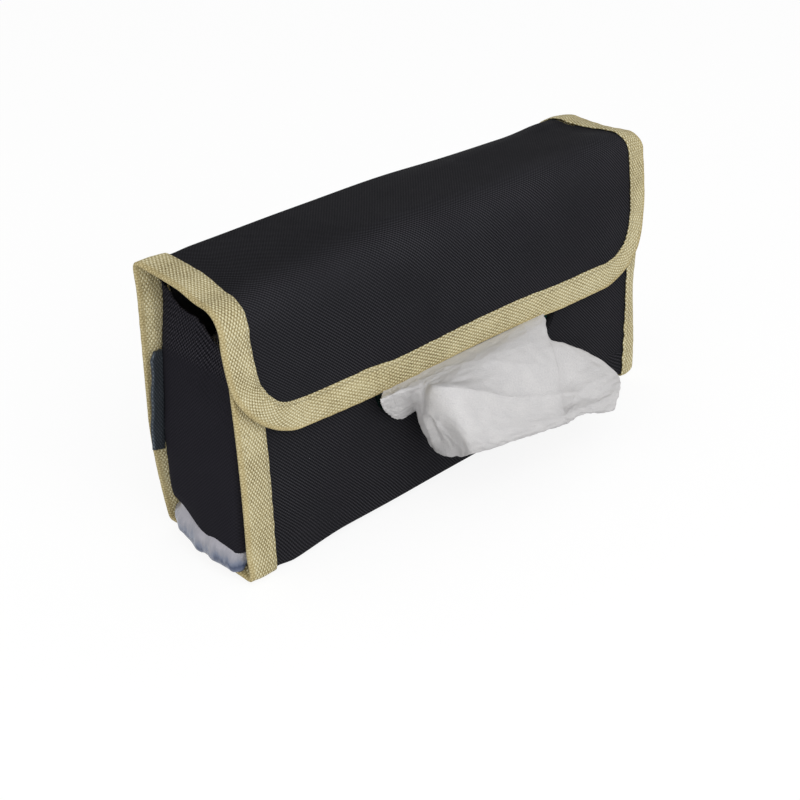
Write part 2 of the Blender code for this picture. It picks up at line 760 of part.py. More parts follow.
# Pulled tissue: rows from inside the mouth out to the free edge, columns left to right.
# Each entry is (x, out from the start, height) as shares of half spread, reach and drop.
tissue_table_shares = (
    ((-0.60, 0.00, 0.00), (-0.45, 0.00, 0.03), (-0.30, 0.00, -0.03), (-0.15, 0.00, 0.05),
     (0.02, 0.00, -0.02), (0.20, 0.00, 0.03), (0.37, 0.00, -0.03), (0.52, 0.00, 0.02),
     (0.63, 0.00, -0.04)),
    ((-0.78, 0.14, 0.06), (-0.64, 0.14, 0.04), (-0.47, 0.14, 0.08), (-0.24, 0.14, 0.10),
     (0.03, 0.14, 0.09), (0.28, 0.14, 0.10), (0.50, 0.14, 0.06), (0.66, 0.14, 0.00),
     (0.78, 0.14, -0.10)),
    ((-0.85, 0.20, 0.07), (-0.71, 0.20, 0.05), (-0.46, 0.20, 0.10), (-0.11, 0.21, 0.11),
     (0.29, 0.22, 0.10), (0.56, 0.27, 0.03), (0.74, 0.31, -0.18), (0.90, 0.36, -0.38),
     (1.02, 0.40, -0.50)),
    ((-0.89, 0.23, 0.07), (-0.74, 0.22, 0.06), (-0.55, 0.24, 0.12), (-0.34, 0.42, 0.16),
     (0.01, 0.56, 0.02), (0.34, 0.62, -0.20), (0.60, 0.66, -0.42), (0.86, 0.68, -0.56),
     (1.07, 0.64, -0.57)),
    ((-0.92, 0.26, 0.05), (-0.78, 0.26, 0.05), (-0.66, 0.32, 0.13), (-0.50, 0.58, 0.14),
     (-0.19, 0.78, -0.08), (0.20, 0.88, -0.36), (0.54, 0.91, -0.58), (0.84, 0.92, -0.66),
     (1.09, 0.85, -0.65)),
    ((-0.93, 0.28, -0.02), (-0.78, 0.28, -0.03), (-0.76, 0.48, 0.10), (-0.68, 0.76, 0.08),
     (-0.44, 0.93, -0.08), (-0.06, 1.01, -0.32), (0.32, 1.03, -0.54), (0.66, 1.03, -0.67),
     (1.05, 0.98, -0.80)),
    ((-0.86, 0.27, -0.14), (-0.74, 0.27, -0.16), (-0.80, 0.60, -0.08), (-0.74, 0.86, -0.16),
     (-0.42, 1.00, -0.33), (0.00, 1.05, -0.52), (0.36, 1.07, -0.66), (0.64, 1.06, -0.78),
     (1.00, 1.02, -0.98)),
    ((-0.77, 0.24, -0.25), (-0.66, 0.25, -0.29), (-0.74, 0.66, -0.38), (-0.66, 0.88, -0.50),
     (-0.32, 0.98, -0.64), (0.08, 1.02, -0.77), (0.40, 1.04, -0.85), (0.64, 1.04, -0.92),
     (0.95, 1.00, -1.12)),
)


def smooth_line(points, steps):
    """Points along a smooth curve through the given ones, ends included."""
    last = len(points) - 1
    result = []
    for index in range(last):
        p0 = points[max(index - 1, 0)]
        p1, p2 = points[index], points[index + 1]
        p3 = points[min(index + 2, last)]
        for step in range(steps):
            t = step / steps
            result.append(((2 * p1) + (p2 - p0) * t + (2 * p0 - 5 * p1 + 4 * p2 - p3) * t ** 2
                           + (3 * p1 - p0 - 3 * p2 + p3) * t ** 3) / 2)
    result.append(points[last])
    return result


def build_tissue():
    """The pulled sheet: a thin closed body through the table's smooth surface."""
    start_y = front_sample(mouth_middle_height)[0] - lining_inner + pack_clearance \
        + film_thickness + stack_clearance - tissue_start_gap
    rows = []
    for row in tissue_table_shares:
        points = [Vector((across * tissue_half_spread, start_y - out * tissue_reach,
                          tissue_exit_height + rise * tissue_drop))
                  for across, out, rise in row]
        rows.append(smooth_line(points, tissue_across))
    columns = [smooth_line(list(column), tissue_along) for column in zip(*rows)]
    grid = list(zip(*columns))
    mesh_data = bmesh.new()
    verts = [[mesh_data.verts.new(point) for point in row] for row in grid]
    for first, second in zip(verts, verts[1:]):
        for index in range(len(first) - 1):
            mesh_data.faces.new((first[index], first[index + 1], second[index + 1],
                                 second[index]))
    result = add_object("tissue_sheet", mesh_data, TISSUE)
    shell = result.modifiers.new("thickness", "SOLIDIFY")
    shell.thickness = tissue_thickness
    shell.offset = 0.0
    shell.use_even_offset = True
    shell.use_rim = True
    return result


def main():
    clear_scene()
    build_walls()
    build_wall_bindings()
    build_gusset("left_gusset", -1)
    build_gusset("right_gusset", 1)
    build_tab()
    build_straps()
    build_lid()
    build_flap(build_front_patches())
    build_pack()
    build_tissue()
    print("lid hinge", lid_hinge, "flap hinge", flap_hinge)


main()
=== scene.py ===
"""Car tissue holder: the looks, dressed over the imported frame.

Metres, +Z up, the front faces -Y. One strip of fabric makes the front, the base, the
back, the lid and the flap. It is described once, as a surface over (x, run), where run
is the length along the strip. Fabric, linings and webbing are all laid on that surface.
"""
import json
import math

import bmesh
import bpy
import numpy as np
from mathutils import Matrix, Vector


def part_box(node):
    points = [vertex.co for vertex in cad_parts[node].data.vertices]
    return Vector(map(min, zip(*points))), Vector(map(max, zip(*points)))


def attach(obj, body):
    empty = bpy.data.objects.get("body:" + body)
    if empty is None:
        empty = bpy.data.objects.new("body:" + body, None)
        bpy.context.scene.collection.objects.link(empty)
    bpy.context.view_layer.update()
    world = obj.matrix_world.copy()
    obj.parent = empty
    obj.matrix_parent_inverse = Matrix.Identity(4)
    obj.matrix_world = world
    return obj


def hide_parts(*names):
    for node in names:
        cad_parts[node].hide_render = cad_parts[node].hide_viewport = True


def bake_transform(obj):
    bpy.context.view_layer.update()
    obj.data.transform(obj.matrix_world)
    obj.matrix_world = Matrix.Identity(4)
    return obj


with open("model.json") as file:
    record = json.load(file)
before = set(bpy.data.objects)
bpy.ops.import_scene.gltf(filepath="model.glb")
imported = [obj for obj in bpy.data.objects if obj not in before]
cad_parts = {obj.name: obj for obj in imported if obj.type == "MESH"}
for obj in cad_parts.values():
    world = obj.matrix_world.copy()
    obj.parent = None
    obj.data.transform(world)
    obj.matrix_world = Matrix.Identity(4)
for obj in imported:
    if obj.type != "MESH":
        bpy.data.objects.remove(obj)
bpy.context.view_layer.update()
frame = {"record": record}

# Sizes read from the frame
edge_x = -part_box("left_binding")[0].x
half_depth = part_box("back_panel")[1].y
front_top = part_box("front_panel")[1].z
flap_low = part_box("flap_binding")[0].z
panel_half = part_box("front_panel")[1].x
gusset_low, gusset_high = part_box("left_gusset")[0].z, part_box("left_gusset")[1].z
tab_low, tab_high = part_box("side_tab")

# Layers: thicknesses, the gap between pieces, and faces as offsets outward from the strip
fabric = 0.0006
tape = 0.0008
gap = 0.0003
board = (-0.0009, -0.0019)
wall_lining = (-0.0022, -0.0026)
flap_lining = (-0.0009, -0.0013)
tape_outer = gap + tape
wall_tape_inner = -0.0026
lid_tape_inner = -0.0017

# The slot: its size, and its middle from its opening in the record
slot_opening = next(item for item in frame["record"]["physics"]["openings"]
                    if item["name"] == "dispensing_slot")["box_m"]
slot_length = 0.1145
slot_height = 0.032
slot_shift = (slot_opening[0][0] + slot_opening[1][0]) / 2
slot_middle = slot_opening[0][2]

# The strip's profile
lid_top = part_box("lid_binding_left")[1].z - tape_outer
front_lean = 0.0077
base_fold_radius = 0.0010
rear_fold_radius = 0.0020
tight_fold_radius = 0.0078
soft_fold_radius = 0.0165
slumped_fold_radius = 0.0130
slumped_drop = 0.0030
slumped_offset = 0.0016
flap_offset = 0.0039
base_height = tape_outer
base_fold_height = base_height + base_fold_radius
flap_corner_radius = 0.033
hug_heights = (0.072, 0.098)
profile_step = 0.00025
seam_height, board_height = 0.098, 0.1055
lid_rear, lid_middle, lid_nose = 0.0205, 0.006, -0.0055

# Webbing
tape_width = 0.014
flap_tape_width = 0.0122
centre_half = edge_x - tape_width - gap


def smooth(value):
    """A smooth step from 0 to 1 as the value goes from 0 to 1."""
    value = np.clip(value, 0.0, 1.0)
    return value * value * (3 - 2 * value)


def rise(value, start, width):
    """A smooth step from 0 to 1 that begins at start and takes a width."""
    return smooth((value - start) / width)


def between(first, second, share):
    """The value a share of the way from the first to the second."""
    return first + (second - first) * share


def waves(a, b, seed, count=5, longest=0.09, shortest=0.02):
    """Low soft undulation over two coordinates in metres, about -1 to 1, seeded."""
    random = np.random.default_rng(seed)
    total = np.zeros(np.broadcast(a, b).shape)
    for _ in range(count):
        angle, phase = random.uniform(0, math.pi), random.uniform(0, 2 * math.pi)
        length = random.uniform(shortest, longest)
        total += np.sin((a * math.cos(angle) + b * math.sin(angle)) * 2 * math.pi / length + phase)
    return total / math.sqrt(count * 2)


# The strip as a surface

def front_y(height):
    """How far forward the front wall's outer face stands at a height."""
    return -half_depth + front_lean * (height / front_top) ** 2


def arc(centre, radius, start_deg, end_deg, steps=24):
    angles = np.radians(np.linspace(start_deg, end_deg, steps))
    return np.stack([centre[0] + radius * np.cos(angles), centre[1] + radius * np.sin(angles)], 1)


def front_run(high, low, hug=None, steps=90):
    """The front wall's curve between two heights; with hug, the flap's curve over it,
    which stands off by hug at the fold and by flap_offset lower down."""
    z = np.linspace(high, low, steps)
    outward = 0.0 if hug is None else np.interp(z, hug_heights, (flap_offset, hug))
    slope = 2 * front_lean * z / front_top ** 2
    size = np.hypot(1, slope)
    return np.stack([front_y(z) - outward / size, z + outward * slope / size], 1)


class Profile:
    """A smooth line in (y, z), read by the length run along it."""

    def __init__(self, points):
        steps = np.hypot(*np.diff(points, axis=0).T)
        points = points[np.concatenate([[True], steps > 1e-7])]
        lengths = np.concatenate([[0.0], np.cumsum(np.hypot(*np.diff(points, axis=0).T))])
        self.length = lengths[-1]
        self.run = np.arange(0.0, self.length, profile_step)
        self.y = np.interp(self.run, lengths, points[:, 0])
        self.z = np.interp(self.run, lengths, points[:, 1])
        for _ in range(2):
            self.y[2:-2] = np.convolve(self.y, np.ones(5) / 5, "valid")
            self.z[2:-2] = np.convolve(self.z, np.ones(5) / 5, "valid")
        along_y, along_z = np.gradient(self.y), np.gradient(self.z)
        size = np.hypot(along_y, along_z)
        self.out_y, self.out_z = along_z / size, -along_y / size

    def at(self, run):
        return [np.interp(run, self.run, value)
                for value in (self.y, self.z, self.out_y, self.out_z)]

    def run_where(self, test):
        """The run of the first point that passes a test on (y, z)."""
        return self.run[np.argmax(test(self.y, self.z))]


def strip_profile(fold_radius, drop=0.0, hug=None):
    """Front wall down, base, back wall up, lid forward, front fold and flap down."""
    hug = flap_offset if hug is None else hug
    fold_height = lid_top - drop - fold_radius
    lean = math.atan(2 * front_lean * fold_height / front_top ** 2)
    start = front_run(fold_height, fold_height, hug, 1)[0]
    centre = (start[0] + fold_radius * math.cos(lean), start[1])
    tilt = math.atan(drop / (half_depth - rear_fold_radius - centre[0]))
    fold = arc(centre, fold_radius, 90 + math.degrees(tilt), 180 - math.degrees(lean), 48)
    flap = front_run(fold_height, flap_low + tape, hug)
    return Profile(np.concatenate([
        front_run(front_top, base_fold_height),
        arc((-half_depth + base_fold_radius, base_fold_height), base_fold_radius, 180, 270),
        arc((half_depth - base_fold_radius, base_fold_height), base_fold_radius, 270, 360),
        arc((half_depth - rear_fold_radius, lid_top - rear_fold_radius), rear_fold_radius, 0, 90),
        fold, flap[flap[:, 1] < fold[-1, 1] - 0.001]]))


tight, soft = strip_profile(tight_fold_radius), strip_profile(soft_fold_radius)
slumped = strip_profile(slumped_fold_radius, slumped_drop, slumped_offset)
run_base = tight.run_where(lambda y, z: z < base_fold_height)
run_back, run_seam, run_board_end = [
    tight.run_where(lambda y, z: (y > 0) & (z > height))
    for height in (base_fold_height, seam_height, board_height)]
run_base_flat, run_base_end = [
    tight.run_where(lambda y, z: (y > past) & (z < 0.002))
    for past in (-half_depth + base_fold_radius, half_depth - base_fold_radius)]
run_lid, run_middle, run_nose = [
    tight.run_where(lambda y, z: (y < before) & (z > lid_top - 0.0002))
    for before in (lid_rear, lid_middle, lid_nose)]
run_flap = tight.run_where(lambda y, z: (y < 0) & (z > 0.09) & (z < 0.098)
                           & (np.arange(len(y)) > len(y) // 2))
run_end = tight.length
base_folds = (run_base + 0.0008, run_base_end + 0.0008)
front_count = int(run_base / profile_step)


def run_on(part, height):
    """The strip's run at a height on a falling part of it, the front wall or the flap."""
    return np.interp(-height, -tight.z[part], tight.run[part])


on_front, on_flap = slice(0, front_count), tight.run > run_flap


def softness(x):
    """How broad the front fold is along the case: soft at the left, tight at the right."""
    right = 1 - rise(x, -0.035, 0.125)
    return (0.12 + 0.88 * right) * smooth((edge_x - x) / 0.02)


def slump(x):
    """How far the lid's front has slumped: from the middle of the case to its left end."""
    return rise(-x, 0.025, 0.070)


# Wear: how the sewn case has settled out of its stiff shape
tuck_run = 0.007
tuck_length = 0.020
tuck_reach = 0.0045
rear_sag = 0.0058
flap_tilt_slope = -0.022
base_sag = 0.0010
base_sag_half = 0.1095
flange_pull = 0.0062
flange_height = 0.050
left_shift, right_shift = 0.0025, 0.0013
flap_hang = (0.0020, 0.0019)
wrap_shift = 0.0066
wrap_radius = 0.0044

# Local pulls in millimetres: the middle, the reach and the shift of each
pulls = (
    ((102, -13, 117), (26, 15, 12), (0, 0, 1.7)),
    ((124, -5, 116), (10, 31, 7), (0, 0, -2.3)),
    ((106, 20, 115), (24, 12, 10), (0, 0, 1.6)),
    ((-121, 27, 115), (16, 12, 12), (-0.8, 0, 0.8)),
    ((-119, -28, 3), (16, 8, 9), (0.6, -0.6, 0)),
    ((121, -28, 64), (24, 12, 20), (2.4, 0, -2.8)),
    ((-117, -9, 114), (22, 13, 12), (0, 0, -1.8)),
    ((-105, -29, 0), (36, 12, 16), (0, 0, -2.3)),
    ((118, -27, 0), (16, 11, 16), (0, 0, -3.0)),
)


def settle(point, pulled=1.0):
    """Lets the stiff shape settle as the fabric has with long use: a sagging rear edge at the
    right, a pulled-in lower rear corner, a front edge that wraps the right corner, and
    then the local pulls."""
    x, y, z = point[..., 0], point[..., 1], point[..., 2]
    sag = 0.0003 + rear_sag * rise(x, -0.030, 0.135)
    sag = sag * np.clip((y - 0.013) / 0.0157, 0, 1) ** 1.6 * rise(z, 0.092, 0.020)
    bow = base_sag * smooth((base_sag_half - np.abs(x)) / 0.012) * (1 - rise(z, 0.003, 0.008))
    pull = pulled * flange_pull * np.clip(1 - z / flange_height, 0, 1) ** 1.5
    pull = pull * rise(y, -0.004, 0.026) * rise(-x, 0.096, 0.022)
    x, z = x + pull, z - sag - bow
    near = rise(x, 0.103, 0.007) * rise(y - front_y(z), -0.0022, 0.0006)
    near = near * rise(-y, 0.004, 0.012) * (1 - rise(z, 0.075, 0.02))
    flat_end = 0.1180 + 0.0030 * (1 - smooth(z / 0.045))
    past = x + wrap_shift * near - flat_end
    turn = np.clip(past / wrap_radius, 0, np.pi / 2)
    behind = np.maximum(past - wrap_radius * np.pi / 2, 0)
    radius = wrap_radius + np.clip(front_y(z) - y, -0.0028, 0.0022)
    wrapped_x = flat_end + np.minimum(past, 0) + radius * np.sin(turn) + 0.12 * behind
    wrapped_y = y + radius * (1 - np.cos(turn)) + behind
    x, y = between(x, wrapped_x, near), between(y, wrapped_y, near)
    total = np.zeros(np.shape(point))
    place = np.stack([x, y, z], -1)
    for middle, reach, shift in pulls:
        away = np.abs(place - np.array(middle) * 0.001) / (np.array(reach) * 0.001)
        total += np.prod(smooth(1 - away), -1)[..., None] * np.array(shift) * 0.001
    return place + total


def strip_at(x, run, offset=0.0):
    """The point of the settled strip at (x, run), moved outward by an offset."""
    x, run = np.broadcast_arrays(np.asarray(x, float), np.asarray(run, float))
    share = (run - run_middle) / (run_end - run_middle)
    lines = [tight.at(run)]
    for other in (soft, slumped):
        lines.append(other.at(np.where(share > 0, run_middle + share
                                       * (other.length - run_middle), run)))
    k, m = softness(x), slump(x)
    y, z, out_y, out_z = [between(between(a, b, k), c, m) for a, b, c in zip(*lines)]
    size = np.hypot(out_y, out_z)
    hang = flap_hang[0] * np.exp(-((x + 0.058) / 0.042) ** 2)
    hang = (hang + flap_hang[1] * rise(x, 0.030, 0.035)) * (1 - rise(x, 0.105, 0.015))
    z = z + (-0.0002 + flap_tilt_slope * x - hang) * rise(run, run_flap, run_end - run_flap)
    tuck = 1 - smooth((run - tuck_run) / tuck_length)
    ends = rise(np.abs(x), 0.095, 0.025)
    y = y + (0.0006 + 0.0019 * m) * tuck
    over = rise(run, run_lid, run_flap - run_lid)
    over = over * (1 - 0.8 * rise(run, run_flap, run_end - run_flap))
    x = x - np.sign(x) * tuck_reach * tuck * ends + over * (
        right_shift * rise(x, 0.04, 0.06) - left_shift * m)
    return settle(np.stack([x, y + offset * out_y / size, z + offset * out_z / size], -1))


# Mesh builders

def grid_faces(rows, columns, start=0, closed_rows=False, closed_columns=False, flip=False):
    """Quads over a grid of vertices numbered row by row."""
    i = np.arange(rows if closed_rows else rows - 1)
    j = np.arange(columns if closed_columns else columns - 1)
    i, j = [a.ravel() for a in np.meshgrid(i, j, indexing="ij")]
    i2, j2 = (i + 1) % rows, (j + 1) % columns
    quads = np.stack([i * columns + j, i * columns + j2, i2 * columns + j2, i2 * columns + j], 1)
    return (quads[:, ::-1] if flip else quads) + start


def add_piece(name, points, faces, weave=None, finish=None, body=None, smooth_angle=40):
    """A mesh object from arrays, with the fabric's own coordinates stored on it."""
    mesh = bpy.data.meshes.new(name)
    mesh.from_pydata([tuple(p) for p in points], [], [tuple(int(v) for v in f) for f in faces])
    if weave is not None:
        layer = mesh.attributes.new("weave", "FLOAT_VECTOR", "POINT")
        layer.data.foreach_set("vector", np.ascontiguousarray(weave, np.float32).ravel())
    mesh.validate()
    build = bmesh.new()
    build.from_mesh(mesh)
    bmesh.ops.recalc_face_normals(build, faces=build.faces)
    build.to_mesh(mesh)
    build.free()
    mesh.shade_smooth()
    mesh.set_sharp_from_angle(angle=math.radians(smooth_angle))
    if finish:
        mesh.materials.append(finish)
    result = bpy.data.objects.new(name, mesh)
    bpy.context.scene.collection.objects.link(result)
    if body:
        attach(result, body)
    return result


def shell(name, x, run, outer, inner, finish, place=strip_at, weave=None, body=None):
    """A closed layer over a grid: an outer face, an inner face and a rim."""
    rows, columns = x.shape
    faces_out, faces_in = place(x, run, outer), place(x, run, inner)
    points = np.concatenate([faces_out.reshape(-1, 3), faces_in.reshape(-1, 3)])
    count = rows * columns
    index = np.arange(count).reshape(rows, columns)
    border = np.concatenate([index[0, :-1], index[:-1, -1], index[-1, :0:-1], index[:0:-1, 0]])
    after = np.roll(border, -1)
    rim = np.stack([border, after, after + count, border + count], 1)
    faces = np.concatenate([grid_faces(rows, columns),
                            grid_faces(rows, columns, count, flip=True), rim])
    if weave is None:
        weave = np.stack([x, run, np.zeros_like(x)], -1)
    weave = np.concatenate([weave.reshape(-1, 3)] * 2)
    return add_piece(name, points, faces, weave, finish, body)


def swept(name, rings, weave, finish, body=None, smooth_angle=50):
    """A closed body through equal rings of points, capped at both ends."""
    rows, columns = rings.shape[:2]
    faces = [list(f) for f in grid_faces(rows, columns, closed_columns=True)]
    faces += [list(range(columns)), list(range((rows - 1) * columns, rows * columns))[::-1]]
    return add_piece(name, rings.reshape(-1, 3), faces, weave.reshape(-1, 3), finish, body,
                     smooth_angle)


# Materials

class Value:
    """An output of a node tree, for sums and products made of Math nodes."""

    def __init__(self, tree, socket):
        self.tree, self.socket = tree, socket

    def math(self, operation, *others):
        node = self.tree.nodes.new("ShaderNodeMath")
        node.operation = operation
        self.tree.feed(node.inputs, self, *others)
        return Value(self.tree, node.outputs[0])

    def __add__(self, other):
        return self.math("ADD", other)

    def __sub__(self, other):
        return self.math("SUBTRACT", other)

    def __mul__(self, other):
        return self.math("MULTIPLY", other)

    def __abs__(self):
        return self.math("ABSOLUTE")

    def clamp(self):
        self.socket.node.use_clamp = True
        return self


class Tree:
    """The node tree of a material or a world, with short calls that add to it."""

    def __init__(self, owner):
        owner.use_nodes = True
        self.nodes, self.links = owner.node_tree.nodes, owner.node_tree.links

    def feed(self, sockets, *values):
        """Link or set sockets, in order, to values."""
        for socket, value in zip(sockets, values):
            if isinstance(value, Value):
                self.links.new(value.socket, socket)
            else:
                socket.default_value = value

    def add(self, kind, output=0, **inputs):
        """Add a node with named inputs; returns one of its outputs."""
        node = self.nodes.new("ShaderNode" + kind)
        for name, value in inputs.items():
            self.feed([node.inputs[name]], value)
        return Value(self, node.outputs[output]) if node.outputs else None

    def noise(self, vector, scale, detail=2.0, roughness=0.5):
        return self.add("TexNoise", "Fac", Vector=vector, Scale=scale, Detail=detail,
                        Roughness=roughness)

    def ramp(self, factor, stops):
        """A colour ramp with (position, colour) stops."""
        paint = self.add("ValToRGB")
        elements = paint.socket.node.color_ramp.elements
        while len(elements) < len(stops):
            elements.new(0.5)
        for element, (position, colour) in zip(elements, stops):
            element.position, element.color = position, (*colour, 1.0)
        self.feed(paint.socket.node.inputs, factor)
        return paint

    def mix(self, factor, first, second, blend="MIX"):
        node = self.nodes.new("ShaderNodeMix")
        node.data_type, node.blend_type = "RGBA", blend
        self.feed((node.inputs[0], *node.inputs[6:8]), factor, first, second)
        return Value(self, node.outputs[2])

    def cloth(self):
        """The stored cloth coordinates: as a vector, and as three numbers."""
        vector = self.add("Attribute", "Vector")
        vector.socket.node.attribute_name = "weave"
        split = self.add("SeparateXYZ", Vector=vector).socket.node
        return vector, [Value(self, output) for output in split.outputs]


class Finish(Tree):
    """A Principled material and its tree."""

    def __init__(self, name, colour, roughness, **sockets):
        self.material = bpy.data.materials.new(name)
        super().__init__(self.material)
        self.shader = self.nodes["Principled BSDF"]
        self.material.diffuse_color = (*colour, 1.0)
        for socket, value in {"Base Color": (*colour, 1.0), "Roughness": roughness,
                              **sockets}.items():
            self.shader.inputs[socket.replace("_", " ")].default_value = value

    def done(self, paint, height, distance):
        """Feed the shader its colour and its relief; returns the material."""
        bump = self.add("Bump", Strength=1.0, Distance=distance, Height=height)
        self.feed((self.shader.inputs["Base Color"], self.shader.inputs["Normal"]), paint, bump)
        return self.material


def woven(name, pitch, stops, roughness, depth, wander=0.00012, mottle=0.16, coarse=60.0,
          rib=0.0, lean=0.3, patchy=0.0, selvedge=None, painted_light_and_flecks=None, bold=False, **sockets):
    """A plain weave read from the stored cloth coordinates: warp knots and weft knots in
    a chequer, each thread a little uneven, with a soft mottle over all of it."""
    tree = Finish(name, stops[-1][1], roughness, **sockets)
    vector, (across, along, third) = tree.cloth()
    drift = (tree.noise(vector, 900.0, 1.0) - 0.5) * (wander * 2)
    turns = [(place + drift) * (math.pi / width) for place, width in zip((across, along), pitch)]
    warp, weft = [turn.math("SINE") for turn in turns]
    knot = warp * weft * (1 - lean) + (turns[0] - turns[1]).math("COSINE") * lean
    patches = tree.noise(vector, 22.0, 1.0) * (patchy * 2) + (1 - patchy)
    if selvedge:
        # A flat woven edge on the folded side, and a row of stitches on the open one
        edge = (third * -900.0 + 2.2).clamp()
        patches = patches * (edge * -0.6 + 1.0)
    knot = knot * patches
    if bold:
        knot = knot * (third * 900.0 + 0.35)
    # Warp knots above 0.5, weft knots below it, and darker gaps between the wefts
    level = knot * 0.5 + 0.5 + (abs(warp) * rib - rib * 0.75)
    level = level + (tree.noise(vector, coarse, 3.0) * mottle - mottle / 2)
    level = (level + (tree.noise(vector, 1400.0, 0.0) * mottle - mottle / 2)).clamp()
    paint = tree.ramp(level, stops)
    # Painted light from the third cloth coordinate: below 0 it darkens the colour as painted
    # shade, above 0 it brightens it as a painted highlight; on the tab it also lightens flecks
    if painted_light_and_flecks:
        light_and_fleck_tint = tree.ramp((third * 1000.0 + 0.5).clamp(), [
            (0.0, (painted_light_and_flecks[0],) * 3), (0.5, (1, 1, 1)), (1.0, (painted_light_and_flecks[1],) * 3)])
        paint = tree.mix(1.0, paint, light_and_fleck_tint, "MULTIPLY")
    height = knot * 0.35 + abs(knot).math("POWER", 0.6)
    if selvedge:
        paint = tree.mix(edge, paint, (*selvedge, 1), "MULTIPLY")
        line = (abs(along - stitch_inset) * -5000.0 + 1.7).clamp()
        dash = ((across * (2 * math.pi / stitch_pitch)).math("SINE") * 4.0 + 2.6).clamp()
        stitch = line * dash
        # Cream stitches on the line, and painted shade on the line between the stitches
        for share, colour in ((stitch, (0.60, 0.53, 0.32)), (line - stitch, (0.16, 0.13, 0.07))):
            paint = tree.mix(share * 0.35, paint, (*colour, 1))
        height = height + stitch * 1.2
    return tree.done(paint, height, depth)


stitch_inset, stitch_pitch = 0.0020, 0.0028
# The black cloth takes a painted highlight along the front fold and painted shade on the lid's top
oxford = woven("black_oxford", (0.000757, 0.000757),
               [(0, (0.0085, 0.0085, 0.0100)), (0.5, (0.0180, 0.0180, 0.0210)),
                (1, (0.047, 0.046, 0.053))], 0.70, 0.00008,
               mottle=0.14, lean=0.45, patchy=0.9, painted_light_and_flecks=(0.45, 1.5), Specular_IOR_Level=0.02)
gusset_cloth = woven("gusset_cloth", (0.000757, 0.000757),
                     [(0, (0.0030, 0.0030, 0.0045)), (0.3, (0.0130, 0.0130, 0.0165)),
                      (0.7, (0.0265, 0.0250, 0.0320)), (1, (0.066, 0.064, 0.074))], 0.80,
                     0.00005, mottle=0.10, lean=0, patchy=0.8, bold=True,
                     Specular_IOR_Level=0.02)
lining_cloth = woven("dark_lining", (0.0004, 0.0004),
                     [(0, (0.012, 0.012, 0.014)), (1, (0.030, 0.030, 0.033))], 0.70, 0.00005,
                     Specular_IOR_Level=0.1)
webbing = woven("khaki_webbing", (0.00130, 0.00075),
                [(0, (0.190, 0.145, 0.066)), (0.25, (0.480, 0.400, 0.210)),
                 (0.55, (0.740, 0.655, 0.390)), (1, (0.990, 0.930, 0.650))], 0.80, 0.00022,
                mottle=0.50, rib=0.30, lean=0.05, patchy=0.45, selvedge=(0.84, 0.80, 0.72),
                Specular_IOR_Level=0.08)
# The tab's third cloth coordinate paints a highlight on its free edge and lightens flecks near its
# seam
tab_cloth = woven("tab_tape", (0.0006, 0.0009),
                  [(0, (0.012, 0.016, 0.022)), (0.6, (0.026, 0.034, 0.044)),
                   (1, (0.070, 0.085, 0.100))], 0.7, 0.00010,
                  mottle=0.5, coarse=300.0, rib=0.4, painted_light_and_flecks=(0.45, 2.6))
strap_cloth = woven("strap_webbing", (0.0016, 0.0008),
                    [(0, (0.004, 0.004, 0.005)), (0.5, (0.014, 0.014, 0.016)),
                     (1, (0.050, 0.050, 0.056))], 0.7, 0.0002,
                    mottle=0.15, rib=0.2, Specular_IOR_Level=0.1)
touch_cloth = woven("touch_tape", (0.0007, 0.0007),
                    [(0, (0.002, 0.002, 0.002)), (0.5, (0.009, 0.009, 0.010)),
                     (1, (0.045, 0.045, 0.047))], 0.9, 0.0004,
                    wander=0.0006, mottle=0.6, coarse=900.0, Specular_IOR_Level=0.1)
thread = woven("black_thread", (0.0004, 0.0002),
               [(0, (0.006, 0.006, 0.007)), (1, (0.050, 0.050, 0.055))], 0.6, 0.00005)
board_cloth = woven("stiffening_board", (0.0016, 0.0016),
                    [(0, (0.24, 0.22, 0.19)), (1, (0.40, 0.38, 0.34))], 0.9, 0.00005,
                    mottle=0.5, coarse=200.0, lean=0)


# Fabric of the strip: the case's walls, the rear fold and the front fold with the flap

def columns_between(half, step=0.003):
    """Places along X, finer beside the webbing where the fabric rises level with it."""
    middle = np.arange(-0.099, 0.0991, step)
    edge = np.array([0.1005, 0.1025, 0.1045, 0.1065, 0.1087, 0.1115, 0.116, 1.0])
    edge = np.append(edge[edge < half - 0.0003], half)
    return np.concatenate([-edge[::-1], middle, edge])


def spread(start, end, step):
    return np.linspace(start, end, max(int(round((end - start) / step)), 1) + 1)


def with_folds(run):
    """The samples of a run, closer together where the strip turns the base folds."""
    for fold in base_folds:
        run = run[np.abs(run - fold) > 0.0027]
        run = np.concatenate([run, fold + np.linspace(-0.0024, 0.0024, 13)])
    return np.sort(run)


def strip_grid(start, end, half, step=0.002):
    run = spread(start, end, step)
    run = with_folds(run) if start == 0 else run
    return np.meshgrid(columns_between(half), run)


def flap_grid(start, half, radius, end, step=0.002):
    """A grid that narrows round the flap's lower corners."""
    low = end - radius
    turn = low + radius * np.sin(np.radians(np.linspace(0, 90, 19)[1:]))
    run = np.concatenate([spread(start, low, step), turn])
    below = np.clip(run - low, 0, radius)
    width = half - radius + np.sqrt(np.maximum(radius ** 2 - below ** 2, 0))
    x, run = np.meshgrid(columns_between(half), run)
    return x * (width / half)[:, None], run


def weave_and_painted_light(x, run):
    """The cloth's own coordinates, and in the third the painted light: more than 0 for a
    painted highlight along the front fold, less than 0 for painted shade on the lid's top."""
    # Painted highlight along the front fold, and painted shade on the lid's top
    crest = np.exp(-((run - run_flap + 0.016) / 0.011) ** 2)
    top = rise(run, run_seam, 0.02) * (1 - rise(run, run_nose, 0.016))
    return np.stack([x, run, (0.20 * crest - 0.28 * top) * 0.001], -1)


puff_half = 0.1075
cloth_crown, cloth_uneven = 0.0005, 0.00022


